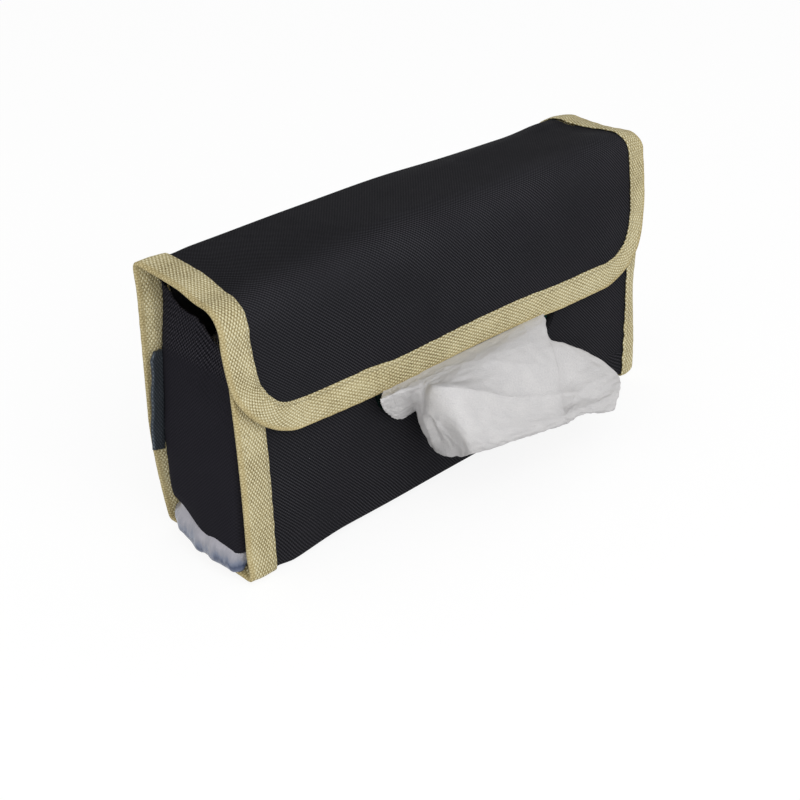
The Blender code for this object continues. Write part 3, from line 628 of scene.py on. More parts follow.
def puff(x, run, offset):
    """The strip with the slight unevenness of its cloth between the bindings."""
    inside = smooth((puff_half - np.abs(x)) / 0.010)
    return strip_at(x, run, offset + (cloth_crown + cloth_uneven * waves(x, run, 3)) * inside)


case_x, case_run = strip_grid(0.0, run_seam, panel_half)
case_fabric = shell("case_fabric", case_x, case_run, 0.0, -fabric, oxford, puff)

rear_x, rear_run = strip_grid(run_seam, run_middle, centre_half + 0.002, 0.0012)
rear_fabric = shell("rear_fabric", rear_x, rear_run, 0.0, -fabric, oxford, puff,
                    weave_and_painted_light(rear_x, rear_run))

fore_x, fore_run = flap_grid(run_middle, panel_half, flap_corner_radius - tape,
                             run_end - 0.0002)
fore_fabric = shell("fore_fabric", fore_x, fore_run, 0.0, -fabric, oxford, puff,
                    weave_and_painted_light(fore_x, fore_run))

# Stiffening boards and lining inside the cloth

board_half = centre_half - 0.0042


def lined(x, run, offset):
    """The lining's face: over the boards, and close to the cloth at folds and edges."""
    no_board = rise(run, run_board_end, 0.003) * (1 - rise(run, run_lid, 0.003))
    no_board = np.maximum(no_board, 1 - rise(run, 0.0010, 0.0025))
    no_board = np.maximum(no_board, rise(run, run_nose, 0.010))
    no_board = np.maximum(no_board, smooth((np.abs(x) - board_half) / 0.0035))
    return strip_at(x, run, between(wall_lining[0], flap_lining[0], no_board) + offset)


def plain_grid(start, end, x, step=0.003):
    return np.meshgrid(x, spread(start, end, step))


lining_thickness = wall_lining[0] - wall_lining[1]
board_x = np.linspace(-board_half, board_half, 71)
boards = [shell(name + "_stiffener", *plain_grid(start, end, board_x), *board, board_cloth)
          for name, start, end in (("front", 0.0036, run_base),
                                   ("base", run_base_flat, run_base_end),
                                   ("back", run_back, run_board_end),
                                   ("lid", run_lid + 0.0032, run_nose))]
lining_half = centre_half - 0.0003
lining_x = np.concatenate([[-lining_half, -lining_half + 0.0015], board_x,
                           [lining_half - 0.0015, lining_half]])
inset = flap_tape_width + gap
case_lining, rear_lining, fore_lining = [
    shell(name, *grid, 0, -lining_thickness, lining_cloth, lined) for name, grid in (
        ("case_lining", plain_grid(0.0005, run_seam, lining_x)),
        ("rear_lining", plain_grid(run_seam, run_middle, lining_x, 0.001)),
        ("fore_lining", flap_grid(run_middle, lining_half, flap_corner_radius - inset,
                                  run_end - inset)))]


# The dispensing slot, cut through the front's three layers

def stadium(count):
    """The outline of the round-ended slot in (x, z)."""
    radius = slot_height / 2
    angles = np.radians(np.linspace(-90, 90, count))
    x = slot_length / 2 - radius + radius * np.cos(angles)
    z = radius * np.sin(angles)
    return np.stack([np.concatenate([x, -x]) + slot_shift,
                     np.concatenate([z, -z]) + slot_middle], 1)


def cut_slot(piece, outline, near, far):
    """Cut an outline through a piece along Y, and store the cloth's coordinates again."""
    rings = np.stack([np.stack([outline[:, 0], np.full(len(outline), y), outline[:, 1]], 1)
                      for y in (near, far)])
    cutter = swept("cutter", rings, np.zeros_like(rings), None)
    modifier = piece.modifiers.new("slot", "BOOLEAN")
    modifier.operation, modifier.solver, modifier.object = "DIFFERENCE", "EXACT", cutter
    evaluated = piece.evaluated_get(bpy.context.evaluated_depsgraph_get())
    mesh = bpy.data.meshes.new_from_object(evaluated)
    piece.modifiers.clear()
    piece.data = mesh
    bpy.data.objects.remove(cutter)
    places = np.empty((len(mesh.vertices), 3), np.float32)
    weave = np.empty_like(places)
    mesh.vertices.foreach_get("co", places.reshape(-1))
    layer = mesh.attributes["weave"].data
    layer.foreach_get("vector", weave.reshape(-1))
    front = (places[:, 1] < -0.015) & (places[:, 2] > 0.012)
    x, _, z = places[front].T
    weave[front] = np.stack([x, run_on(on_front, z), x * 0], 1)
    layer.foreach_set("vector", weave.reshape(-1))
    mesh.set_sharp_from_angle(angle=math.radians(40))


for piece in (case_fabric, boards[0], case_lining):
    cut_slot(piece, stadium(16), -half_depth - 0.01, -half_depth + 0.013)


def slot_facing():
    """The narrow turned edge that closes the slot's cut layers."""
    angles = np.radians(np.linspace(0, 360, 15))[:-1]
    reach, half_thick = 0.0007, (wall_lining[0] - lining_thickness - 0.0003) / 2
    around = reach * (0.45 + np.cos(angles))
    offset = half_thick - (half_thick - 0.0003) * np.sin(angles)
    outline = stadium(40)
    ahead = np.roll(outline, -1, 0) - np.roll(outline, 1, 0)
    ahead /= np.hypot(*ahead.T)[:, None]
    rings, weave = [], []
    for (x, z), (ahead_x, ahead_z) in zip(outline, ahead):
        rings.append(strip_at(x + ahead_z * around, run_on(on_front, z) + ahead_x * around,
                              offset))
        weave.append(np.stack([angles * 0.001, np.full_like(angles, x + z), angles * 0], 1))
    rings, weave = np.array(rings), np.array(weave)
    faces = grid_faces(*rings.shape[:2], closed_rows=True, closed_columns=True)
    return add_piece("slot_facing", rings.reshape(-1, 3), faces, weave.reshape(-1, 3),
                     lining_cloth, smooth_angle=60)


facing = slot_facing()


# Gussets: end panels that tuck in under the lid

gusset_levels = (0.0, 0.10, 0.28, 0.50, 0.72, 0.86, 1.0)
gusset_bulges = (0.0150, 0.0153, 0.0143, 0.0120, 0.0093, 0.0078, 0.0062)
gusset_wall = centre_half - fabric / 2
seam_depth = 0.0012
flange_inset = 0.0055
rim_y = (-0.024, -0.014, -0.009, -0.0045, 0.0, 0.0130, 0.0205, 0.0262)
rim_top = (0.086, 0.091, 0.0944, 0.0977, 0.0998, 0.1004, 0.1068, 0.1095)
hem_y = (-0.026, -0.020, -0.014, -0.007, -0.001, 0.005, 0.013, 0.024)
hem_low = (0.0110, 0.0100, 0.0096, 0.0110, 0.0120, 0.0140, 0.0165, 0.0180)


def end_bulge(along, height):
    """How far a gusset stands out past its seams, from front (0) to rear (1)."""
    level = np.clip((height - gusset_low) / (gusset_high - gusset_low), 0, 1)
    away = np.abs(2 * np.clip(along, 0, 1) - 1)
    rear_power = 10 + 10 * rise(level, 0.45, 0.4)
    square = 1 - away ** np.where(along > 0.5, rear_power, 18)
    return np.interp(level, gusset_levels, gusset_bulges) * square


def gusset_at(side):
    """Place function of one gusset over (plan, level), both from 0 to 1."""
    def place(plan, level, offset):
        wall = np.clip((plan - 0.1) / 0.8, 0, 1)
        along = (1 - np.cos(np.pi * wall)) / 2
        guess = -half_depth + 2 * half_depth * along
        low, high = np.interp(guess, hem_y, hem_low), np.interp(guess, rim_y, rim_top)
        height = between(low, high, level) - 0.005 * np.clip((plan - 0.86) / 0.14, 0, 1)
        front, rear = front_y(height) + seam_depth, half_depth - seam_depth
        y = between(front, rear, along)
        inside = 1 - np.abs(2 * along - 1) ** 5
        rib = 0.00030 * rise(level, 0.60, 0.12) * np.sin(
            (height + 0.12 * y) * 2 * np.pi / 0.0041 + 3 * np.sin(y * 260))
        uneven = 0.0005 * waves(along * 0.05, height, 21 + int(side), 5, 0.06, 0.02)
        out = gusset_wall + end_bulge(along, height) + (rib + uneven) * inside + offset
        end = smooth(np.abs(plan - 0.5) / 0.4 * 5 - 4)
        flange = np.clip((np.abs(plan - 0.5) - 0.4) / 0.1, 0, 1)
        x = out + (panel_half - gusset_wall - flange_inset) * flange
        inward = np.sign(0.5 - plan) * end
        y = y + offset * np.clip(flange * 4, 0, 1) * -inward + inward * 0.0004 * (1 - flange)
        return settle(np.stack([side * x, y, height], -1))
    return place


def gusset(name, side):
    plan = np.concatenate([[0, 0.03, 0.06, 0.085], np.linspace(0.1, 0.9, 41),
                           [0.915, 0.94, 0.97, 1.0]])
    level = np.linspace(0, 1, 110)
    plan, level = np.meshgrid(plan, level)
    place = gusset_at(side)
    middle = place(plan, level, 0.0)
    upper = rise(middle[..., 2], 0.078, 0.008) * 0.001
    weave = np.stack([middle[..., 1], middle[..., 2], upper], -1)
    return shell(name, plan, level, fabric / 2, -fabric / 2, gusset_cloth, place, weave)


gussets = [gusset("left_end_panel", -1), gusset("right_end_panel", 1)]


# Webbing: a folded tape laid along a path on the strip's surface

def tape_section(width, inner, outer=tape_outer):
    """The folded tape's section as (distance in from the edge, offset) pairs."""
    edge_inner = max(inner, pinched_inner)
    radius = (outer - edge_inner) / 2
    middle = (outer + edge_inner) / 2
    flat = np.linspace(width - 0.0003, radius, 14)
    pillow = 0.00018 * np.sin(np.pi * np.clip((width - flat) / (width - radius), 0, 1))
    turn = np.radians(np.linspace(90, 270, 13))[1:-1]
    fold = np.stack([radius + radius * np.cos(turn), middle + radius * np.sin(turn)], 1)
    top = np.stack([flat, outer + pillow - 0.0001], 1)
    under = between(edge_inner, inner, rise(flat[::-1], radius, 0.0045))
    low = np.stack([flat[::-1], under - pillow[::-1] * 0.6], 1)
    outside = np.concatenate([[(width, gap + 0.0001)], [(width, outer - 0.00035)], top, fold, low,
                              [(width, inner + 0.00035)]])
    inside = np.array([(width, inner + tape), (0.006, inner + tape),
                       (radius + 0.0006, edge_inner + tape * 0.9), (radius * 0.9, middle),
                       (radius + 0.0006, gap)])
    return np.concatenate([outside, inside])


def lay_tape(name, edge, inward, along, width, inner, pucker=0.0):
    """Sweep the folded section along an edge path given in (x, run)."""
    count = len(edge)
    width, inner, pucker = [np.broadcast_to(v, count) for v in (width, inner, pucker)]
    section = np.stack([tape_section(w, i) for w, i in zip(width, inner)])
    rag = 0.00013 * waves(along, along * 0, 17, 6, 0.012, 0.003)
    distance, offset = section[..., 0], section[..., 1]
    at_edge = rise(distance, 0.004, 0.006)
    distance = distance + rag[:, None] * at_edge
    running = np.concatenate([np.zeros((count, 1)), np.cumsum(
        np.hypot(*np.moveaxis(np.diff(section, axis=1), 2, 0)), 1)], 1)
    outside = np.where(offset > 0.0003, 1.0, 0.4)
    along = along[:, None] * np.ones_like(distance)
    ripple = 0.00007 * waves(along, distance, 11, 6, 0.008, 0.003)
    ripple = ripple + pucker[:, None] * 0.00024 * at_edge * np.sin(
        along * 2 * np.pi / 0.0023 + 2 * np.sin(along * 400))
    offset = offset + ripple * outside
    x, run = edge.T[..., None] + inward.T[..., None] * distance
    rings = strip_at(x, run, offset)
    return swept(name, rings, np.stack([along, running, distance], -1), webbing)


def flap_path(step=0.0009):
    """Down the left edge from the middle of the lid, round both corners, up the right: the
    path, the way inward, and how far into a corner each point is."""
    radius, end = flap_corner_radius, run_end + tape
    straight = spread(run_middle, end - radius, step)
    bottom = spread(-edge_x + radius, edge_x - radius, step)[1:-1]
    angles = np.radians(np.linspace(0, 90, 60))[1:]
    turn = np.concatenate([straight * 0, angles])
    run = np.concatenate([straight, angles * 0 + end - radius])
    left = np.stack([-edge_x + radius - radius * np.cos(turn), run + radius * np.sin(turn)], 1)
    turn_in = np.stack([np.cos(turn), -np.sin(turn)], 1)
    mirror = np.array([-1.0, 1.0])
    edge = np.concatenate([left, np.stack([bottom, bottom * 0 + end], 1), left[::-1] * mirror])
    inward = np.concatenate([turn_in, np.repeat([[0.0, -1.0]], len(bottom), 0),
                             turn_in[::-1] * mirror])
    corner = np.concatenate([straight * 0, angles, bottom * 0, angles, straight * 0])
    return edge, inward, np.sin(2 * corner)


pinched_inner = -0.0008
wall_stretch, flap_stretch = 1.14, 0.95
right_lid_width, right_flap_width, left_flap_width = 0.0112, 0.0106, 0.0132
flap_edge, flap_inward, corner_share = flap_path()
flap_step = np.hypot(*np.diff(flap_edge, axis=0).T)
flap_step = flap_step * between(wall_stretch, flap_stretch, rise(
    flap_edge[1:, 1], run_end - flap_corner_radius, 0.02))
flap_along = wall_stretch * run_middle + np.concatenate([[0.0], np.cumsum(flap_step)])
along_end = flap_along[-1]
tapes = {}
for label, side in (("left", -1), ("right", 1)):
    for part, start, end, step in (("wall", 0.0, run_seam, 0.0011),
                                   ("rear", run_seam, run_middle, 0.0007)):
        run = spread(start, end, step)
        run = with_folds(run) if start == 0 else run
        along = wall_stretch * run
        if side > 0:
            along = along_end + wall_stretch * run_middle - along
        narrow = rise(run, run_seam, run_lid - run_seam) * (side > 0)
        tapes[part + "_" + label] = lay_tape(
            part + "_webbing_" + label, np.stack([np.full_like(run, side * edge_x), run], 1),
            np.repeat([[-side, 0.0]], len(run), 0), along,
            between(tape_width, right_lid_width, narrow),
            between(wall_tape_inner, lid_tape_inner, rise(run, run_seam, 0.008)))
on_lid = 1 - rise(flap_edge[:, 1], run_middle, 0.03)
flap_share = flap_edge[:, 0] / edge_x
side_width = np.where(flap_share < 0, between(left_flap_width, tape_width, on_lid),
                      between(right_flap_width, right_lid_width, on_lid))
flap_width = between(flap_tape_width, side_width, smooth(np.abs(flap_share) * 3 - 2))
flap_width = flap_width + 0.0019 * rise(-flap_share, 0.32, 0.16) * (
    1 - rise(-flap_share, 0.78, 0.12))
tapes["flap"] = lay_tape("flap_webbing", flap_edge, flap_inward, flap_along,
                         flap_width - 0.0008 * corner_share, lid_tape_inner, corner_share)

# The tissue pack: a film bag, tinted round its mouth, and the folded stack in it

pack_bottom, pack_top = 0.0034, 0.1019
pack_round = (0.0085, 0.0100)
pack_end_round = 0.009
film_end_gap, film_front_gap, film_rear_gap = 0.0011, 0.0030, 0.0034
shoulder_draw, corner_draw = 0.030, 0.0095


def rounding(depth, radius):
    """How far a round edge draws in at a depth below its crest."""
    left = np.clip(radius - depth, 0, radius)
    return radius - np.sqrt(radius ** 2 - left ** 2)


end_y = (-0.026, -0.0244, -0.0234, -0.0198, -0.0143, -0.0078, -0.0007, 0.0065, 0.0146, 0.020,
         0.025)
end_x = (0.1180, 0.1207, 0.1234, 0.1257, 0.1257, 0.1254, 0.1249, 0.1245, 0.1234, 0.1206, 0.1156)


def pillow(name, inset, end_gap, wrinkle, finish, levels=60, per_side=40):
    """The soft block of the pack, through equal rings of points from bottom to top. Without
    a gap at its ends it is the film: below the gussets its ends bulge over the base webbing."""
    is_film = end_gap == 0
    corners = range(5)
    around = np.concatenate([np.linspace(side, side + 1, count * per_side, endpoint=False)
                             for side, count in enumerate((3, 1, 3, 1))])
    around, level = np.meshgrid(around, np.linspace(0.02, 0.98, levels))
    across = np.interp(around, corners, (-1, 1, 1, -1, -1))
    eased = (1 - np.cos(np.pi * np.interp(around, corners, (0, 0, 1, 1, 0)))) / 2
    height = between(pack_bottom + inset, pack_top - inset, (1 - np.cos(np.pi * level)) / 2)
    low, high = height - pack_bottom, pack_top - height
    drawn = rounding(low, pack_round[0]) + rounding(high, pack_round[1])
    at_end = smooth((np.abs(across) - 0.86) / 0.14) * is_film
    front = front_y(height) + film_front_gap + inset + drawn * (1 - 0.75 * at_end)
    rear = half_depth - film_rear_gap - inset - drawn
    y = between(front, rear, eased)
    reach = gusset_wall - film_end_gap - end_gap - inset - drawn + end_bulge(eased, height)
    reach = reach - rounding(np.minimum(y - front, rear - y), pack_end_round)
    reach = reach - shoulder_draw * rise(height, 0.064, 0.024)
    reach = reach - corner_draw * (across > 0) * smooth((0.60 - eased) / 0.25)
    hump = np.interp(y, end_y, end_x) - inset - end_gap - rounding(low, 0.0035)
    bared = 1 - smooth((height - np.where(across > 0, 0.0055, 0.0085)) / 0.006)
    x = across * between(reach, hump, bared * is_film)
    at_side = np.abs(across) == 1
    fold = 0.0006 * np.sin(y * 330 + 2.2 * np.sin(y * 170 + height * 90)) * bared * is_film
    crumple = wrinkle * waves(x, y + height, 31, 12, 0.030, 0.005)
    y = y + crumple * np.where(eased < 0.5, 1, -1)
    x = x + np.sign(across) * (fold + crumple) * at_side
    over_tape = rise(np.abs(x), 0.104, 0.006)
    hang = 0.0042 * rise(np.abs(x), 0.1195, 0.0045)
    lift = (0.0012 * over_tape - hang) * (1 - smooth(low / 0.007))
    rings = settle(np.stack([x, y, height + lift], -1), 1 - bared)
    return swept(name, rings, rings[..., [0, 2, 1]], finish)


def film_finish():
    """Thin film over white paper: pale lilac, with blue streaks where it lies in folds."""
    tree = Finish("clear_film", (0.36, 0.36, 0.41), 0.25, Specular_IOR_Level=0.35,
                  Coat_Weight=0.10, Coat_Roughness=0.12)
    vector, (_, height, depth) = tree.cloth()
    stretched = tree.add("Mapping", Vector=vector, Scale=(1.0, 0.7, 2.4))
    streak = tree.noise(stretched, 85.0, 3.0, 0.6)
    paint = tree.ramp(streak * 1.5 - 0.82 + (height * -105.0 + 1.22), [
        (0, (0.46, 0.45, 0.50)), (0.30, (0.34, 0.345, 0.40)), (0.52, (0.22, 0.25, 0.34)),
        (0.74, (0.060, 0.085, 0.160)), (0.96, (0.12, 0.15, 0.25))])
    # Dark teal film round the mouth, on the front only
    band = (abs(height - slot_middle) * -120.0 + 4.0).clamp() * (depth * -300.0 - 5.2).clamp()
    teal = tree.ramp(streak, [(0.35, (0.004, 0.012, 0.011)), (0.65, (0.020, 0.075, 0.066))])
    return tree.done(tree.mix(band, paint, teal), tree.noise(stretched, 240.0), 0.0006)


def paper_finish():
    """Soft tissue paper: a very fine grain over a faint cloudiness."""
    tree = Finish("tissue_paper", (0.74, 0.725, 0.72), 0.95, Specular_IOR_Level=0.05)
    vector = tree.cloth()[0]
    grain, cloud = tree.noise(vector, 1500.0, 2.0, 0.6), tree.noise(vector, 150.0)
    paint = tree.ramp(grain * 0.6 + cloud * 0.4, [(0.30, (0.66, 0.65, 0.655)),
                                                  (0.70, (0.78, 0.765, 0.76))])
    return tree.done(paint, grain + cloud, 0.00026)


film, paper = film_finish(), paper_finish()
film_bag = pillow("film_bag", 0.0, 0.0, 0.0003, film)
stack = pillow("folded_tissues", 0.0012, 0.004, 0.0, paper)

# Camera, fitted to the photo
photo_side = 800
camera_data = bpy.data.cameras.new("camera")
camera_data.sensor_width = 36.0
camera_data.lens = 69.8
camera = bpy.data.objects.new("camera", camera_data)
eye = Vector((-0.43497, -0.40874, 0.35179))
right = Vector((0.692796, -0.721133, -0.000679))
up = Vector((0.350761, 0.336154, 0.874052))
back = right.cross(up)
camera.matrix_world = Matrix.Translation(eye) @ Matrix((right, up, back)).transposed().to_4x4()
bpy.context.scene.collection.objects.link(camera)
bpy.context.scene.camera = camera
focal = camera_data.lens / camera_data.sensor_width * photo_side


def seen_at(photo_x, photo_y, depth):
    """The place that shows at a photo pixel and stands at a depth y, in metres."""
    across = (np.asarray(photo_x, float)[..., None] - photo_side / 2) / focal
    down = (np.asarray(photo_y, float)[..., None] - photo_side / 2) / focal
    ray = across * np.array(right) - down * np.array(up) - np.array(back)
    return np.array(eye) + ray * ((np.asarray(depth)[..., None] - eye.y) / ray[..., 1:2])


def photo_place(points):
    """The photo pixel at which each point shows."""
    away = points - np.array(eye)
    depth = -(away @ np.array(back))
    return [photo_side / 2 + focal * (away @ np.array(axis)) / depth for axis in (right, -up)]


# The pulled tissue. Two lines lie in the slot, as (x, y, z) in millimetres. The others
# are photo pixels with how far forward of the case's middle they stand, in millimetres:
# from the flap's edge down to the free edge, each from the curl at the left, over the
# pleat, to the lobe at the right.
millimetre = 0.001
in_slot = (
    ((-37, -21.5, 50.6), (-31, -21.5, 51.4), (-25, -21.5, 49.8), (-20, -21.5, 51.6),
     (-14, -21.5, 49.6), (-6, -21.5, 51.6), (3, -21.5, 49.8), (12, -21.5, 51.6),
     (21, -21.5, 50), (29, -21.5, 51.4), (27, -21.5, 49.4), (31, -21.5, 48.6),
     (34, -21.5, 50), (37, -21.5, 49)),
    ((-48, -28, 52), (-42, -28, 52.6), (-36, -28, 51.6), (-31, -28, 52.8), (-26, -28, 52),
     (-16, -28, 53), (-4, -28, 52.2), (9, -28, 53), (22, -28, 52), (34, -28, 52.4),
     (32, -28, 51), (36, -28, 50), (38, -28, 51), (40, -28, 50)),
)
tissue_lines = (
    ((384, 389, 28.8), (396, 384, 28.8), (408, 378, 28.8), (418, 373, 28.8),
     (427, 368, 28.8), (446, 359, 28.8), (470, 347.5, 28.8), (495, 335.5, 28.8),
     (519, 324, 28.8), (541, 313.5, 28.8), (538, 316, 28.8), (541, 316, 28.8),
     (543, 317, 28.8), (544, 319, 28.8)),
    ((382, 396, 32.4), (394, 390.5, 33.4), (408, 384.5, 33.6), (418, 380, 34),
     (427, 375.5, 34.6), (446, 366.5, 35), (470, 355, 35.4), (495, 343, 35.4),
     (519, 331.5, 35.2), (542, 321.5, 34.6), (538, 324, 34), (542, 324, 34),
     (544, 325, 34), (546, 327, 34)),
    ((380.5, 400, 37.0), (393, 394, 38.5), (408, 389, 38.5), (420, 385, 38.5), (430, 380, 39.5),
     (450, 372, 41), (475, 362, 42.5), (500, 352, 43), (525, 342, 42), (546.5, 334, 40),
     (541, 338, 38), (546, 337, 37.5), (550, 339.5, 38), (553, 342.5, 38)),
    ((381.5, 405, 36.0), (394, 400, 37.5), (410, 394, 37), (421, 393, 40), (431, 385, 43),
     (450, 381, 48), (478, 377, 50), (505, 372, 51), (532, 364, 51), (554, 357, 49),
     (545, 360, 45), (557, 350, 43), (570, 347, 43), (586, 352, 43)),
    ((385, 411, 33.0), (396, 408, 34.0), (412, 402, 34.0), (423, 408, 41), (430, 392, 48),
     (453, 388, 55), (482, 393, 58), (508, 398.5, 59), (534, 397, 59), (560, 391, 58),
     (553, 392, 54), (566, 384, 53), (588, 374, 53), (614, 371, 51)),
    ((390, 415, 31.0), (400, 414, 32), (415, 408, 32), (421, 424, 40), (435, 415, 51),
     (460, 411, 60), (488, 417, 63), (514, 419, 64), (540, 415, 64), (562, 409, 64),
     (563, 408, 62), (573, 402, 61), (594, 396, 61), (620.5, 384, 58)),
    ((394, 417.5, 30), (402, 417.5, 31), (420, 411, 31), (427, 437, 39), (447, 430, 53),
     (466, 434, 63), (492, 436, 66), (517, 431, 67), (542, 424, 67), (562, 418, 67),
     (567, 415, 67), (578, 409, 66), (598, 404, 65), (618, 396, 62)),
    ((397, 418.5, 29.6), (404, 417, 30.2), (422, 411, 30.5), (437, 450.5, 39), (459, 455, 51),
     (473, 452.5, 62), (497, 446, 65), (520, 438.5, 66), (543, 431, 66.5), (563, 424.5, 66.5),
     (571, 420.5, 66.5), (583, 413.5, 66), (598, 412.5, 65), (613, 410.5, 63)),
)
tuck_back = np.array((-5.0, -4.0, -6.0))

# Creases: photo pixels of both ends, half width in pixels, and height in millimetres
creases = (
    ((430, 387), (470, 391), 3.0, 0.9), ((470, 391), (515, 399), 3.0, 1.1),
    ((515, 399), (575, 393), 3.0, 0.9), ((523, 322), (530, 345), 2.5, 0.6),
    ((550, 345), (559, 378), 2.0, 0.6), ((573, 400), (588, 384), 2.5, 0.8),
    ((588, 384), (606, 377), 2.5, 0.6), ((562, 408), (572, 402), 2.0, -0.5),
    ((566, 386), (590, 362), 3.0, -0.6), ((563, 396), (600, 398), 3.0, -0.5),
    ((575, 376), (603, 366), 2.5, 0.4), ((412, 384), (446, 372), 2.0, 0.5),
    ((415, 391), (440, 381), 2.0, -0.5), ((419, 379), (436, 366), 2.0, -0.4),
    ((432, 372), (470, 362), 2.5, 0.35), ((396, 385), (408, 398), 2.0, 0.6),
    ((390, 388), (396, 406), 2.0, -0.5), ((400, 410), (416, 400), 2.0, 0.5),
    ((424, 416), (433, 440), 1.8, 0.9), ((430, 416), (442, 444), 1.8, -0.8),
    ((437, 422), (451, 447), 1.8, 0.8), ((428, 412), (460, 446), 1.6, 0.7),
    ((443, 385), (470, 378), 2.5, -0.3), ((480, 360), (540, 366), 4.0, 0.3),
    ((470, 405), (520, 412), 5.0, -0.3),
)


def spline(points, count, axis):
    """Cubic (Catmull-Rom) interpolation of an array of points along one axis."""
    points = np.moveaxis(np.asarray(points, float), axis, 0)
    last = len(points) - 1
    t = np.linspace(0, last, count)
    i = np.minimum(t.astype(int), last - 1)
    f = (t - i).reshape(-1, *[1] * (points.ndim - 1))
    p0, p1, p2 = points[np.maximum(i - 1, 0)], points[i], points[i + 1]
    p3 = points[np.minimum(i + 2, last)]
    result = ((2 * p1) + (p2 - p0) * f + (2 * p0 - 5 * p1 + 4 * p2 - p3) * f ** 2
              + (3 * p1 - p0 - 3 * p2 + p3) * f ** 3) / 2
    return np.moveaxis(result, 0, axis)


def sheet_normals(points):
    """The direction square to a grid of points, at each of them."""
    normal = np.cross(np.gradient(points, axis=0), np.gradient(points, axis=1))
    return normal / np.maximum(np.linalg.norm(normal, axis=-1, keepdims=True), 1e-12)


def crease_height(photo_x, photo_y):
    """Height of the creases at photo pixels."""
    total = np.zeros(photo_x.shape)
    for (x0, y0), (x1, y1), half_width, height in creases:
        ahead = np.array((x1 - x0, y1 - y0), float)
        along = ((photo_x - x0) * ahead[0] + (photo_y - y0) * ahead[1]) / (ahead @ ahead)
        beside = ((photo_x - x0) * ahead[1] - (photo_y - y0) * ahead[0]) / math.hypot(*ahead)
        fade = smooth(along * 4 + 0.6) * smooth((1 - along) * 4 + 0.6)
        total += height * fade * np.exp(-np.abs(beside) / half_width)
    return total * millimetre


def pulled_sheet(rows=150, columns=240):
    """The tissue's middle surface, creased and crumpled, after its cloth coordinates."""
    lines = np.array(tissue_lines, float)
    lines = np.concatenate([lines, lines[-1:] + tuck_back])
    shown = seen_at(lines[..., 0], lines[..., 1], -lines[..., 2] * millimetre)
    table = np.concatenate([np.array(in_slot, float) * millimetre, shown])
    points = spline(spline(table, rows, 0), columns, 1)
    v, u = np.meshgrid(np.linspace(0, 0.11, rows), np.linspace(0, 0.16, columns), indexing="ij")
    edge = np.maximum(rise(v, 0.082, 0.02), rise(np.abs(u - 0.08), 0.066, 0.012))
    edge = edge * rise(v, 0.03, 0.02)
    free = rise(v, 0.022, 0.015)
    ridges = 0.5 - np.abs(waves(u, v, 5, 4, 0.030, 0.012))
    fine = waves(u, v, 6, 10, 0.010, 0.003)
    crinkle = 0.5 - np.abs(waves(u, v, 7, 5, 0.011, 0.005))
    height = free * (0.00022 * ridges + 0.00007 * fine + 0.00016 * crinkle)
    height = height + edge * (0.00035 * crinkle + 0.00012 * fine)
    height = height + free * crease_height(*photo_place(points))
    slip = np.gradient(points, axis=0)
    slip /= np.maximum(np.linalg.norm(slip, axis=-1, keepdims=True), 1e-9)
    ragged = 0.0006 * edge * waves(u, u * 0, 8, 8, 0.012, 0.003)
    points = points + sheet_normals(points) * height[..., None] + slip * ragged[..., None]
    return u, v, points


tissue_thickness = 0.00025
tissue_u, tissue_v, surface = pulled_sheet()
surface_out = sheet_normals(surface)
tissue = shell("pulled_tissue", tissue_u, tissue_v, tissue_thickness / 2,
               -tissue_thickness / 2, paper,
               lambda u, v, offset: surface + surface_out * offset)


# Small fabric pieces: the tab, the touch-tape patches and the rear straps

plate_border = 0.0012


def plate(name, node, thickness, place, body, corner=0.0015):
    """A band or patch for a CAD node, a little thinner at its border."""
    low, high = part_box(node)
    x, height = rounded_grid(low.x, high.x, low.z, high.z, corner)
    inside = np.minimum(np.minimum(x - x.min(), x.max() - x),
                        np.minimum(height - height.min(), height.max() - height))
    half = thickness / 2 * (0.45 + 0.55 * smooth(inside / plate_border))
    is_strap = thickness == strap_thickness
    piece = shell(name, x, height, half, -half, strap_cloth if is_strap else touch_cloth, place,
                  body=body)
    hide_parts(node)


def rounded_grid(x0, x1, z0, z1, corner, step=0.0012):
    """A grid over a rectangle in (x, z) with small round corners."""
    turn = np.radians(np.linspace(0, 90, 5))
    z = np.concatenate([z0 + corner * (1 - np.cos(turn[:-1])),
                        spread(z0 + corner, z1 - corner, step),
                        z1 - corner + corner * np.sin(turn[1:])])
    near = np.clip(corner - np.minimum(z - z0, z1 - z), 0, corner)
    draw = corner - np.sqrt(corner ** 2 - near ** 2)
    half, middle = abs(x1 - x0) / 2, (x0 + x1) / 2
    share, z = np.meshgrid(np.linspace(-1, 1, max(int(half * 2 / step), 4)), z)
    return middle + share * (half - draw)[:, None], z


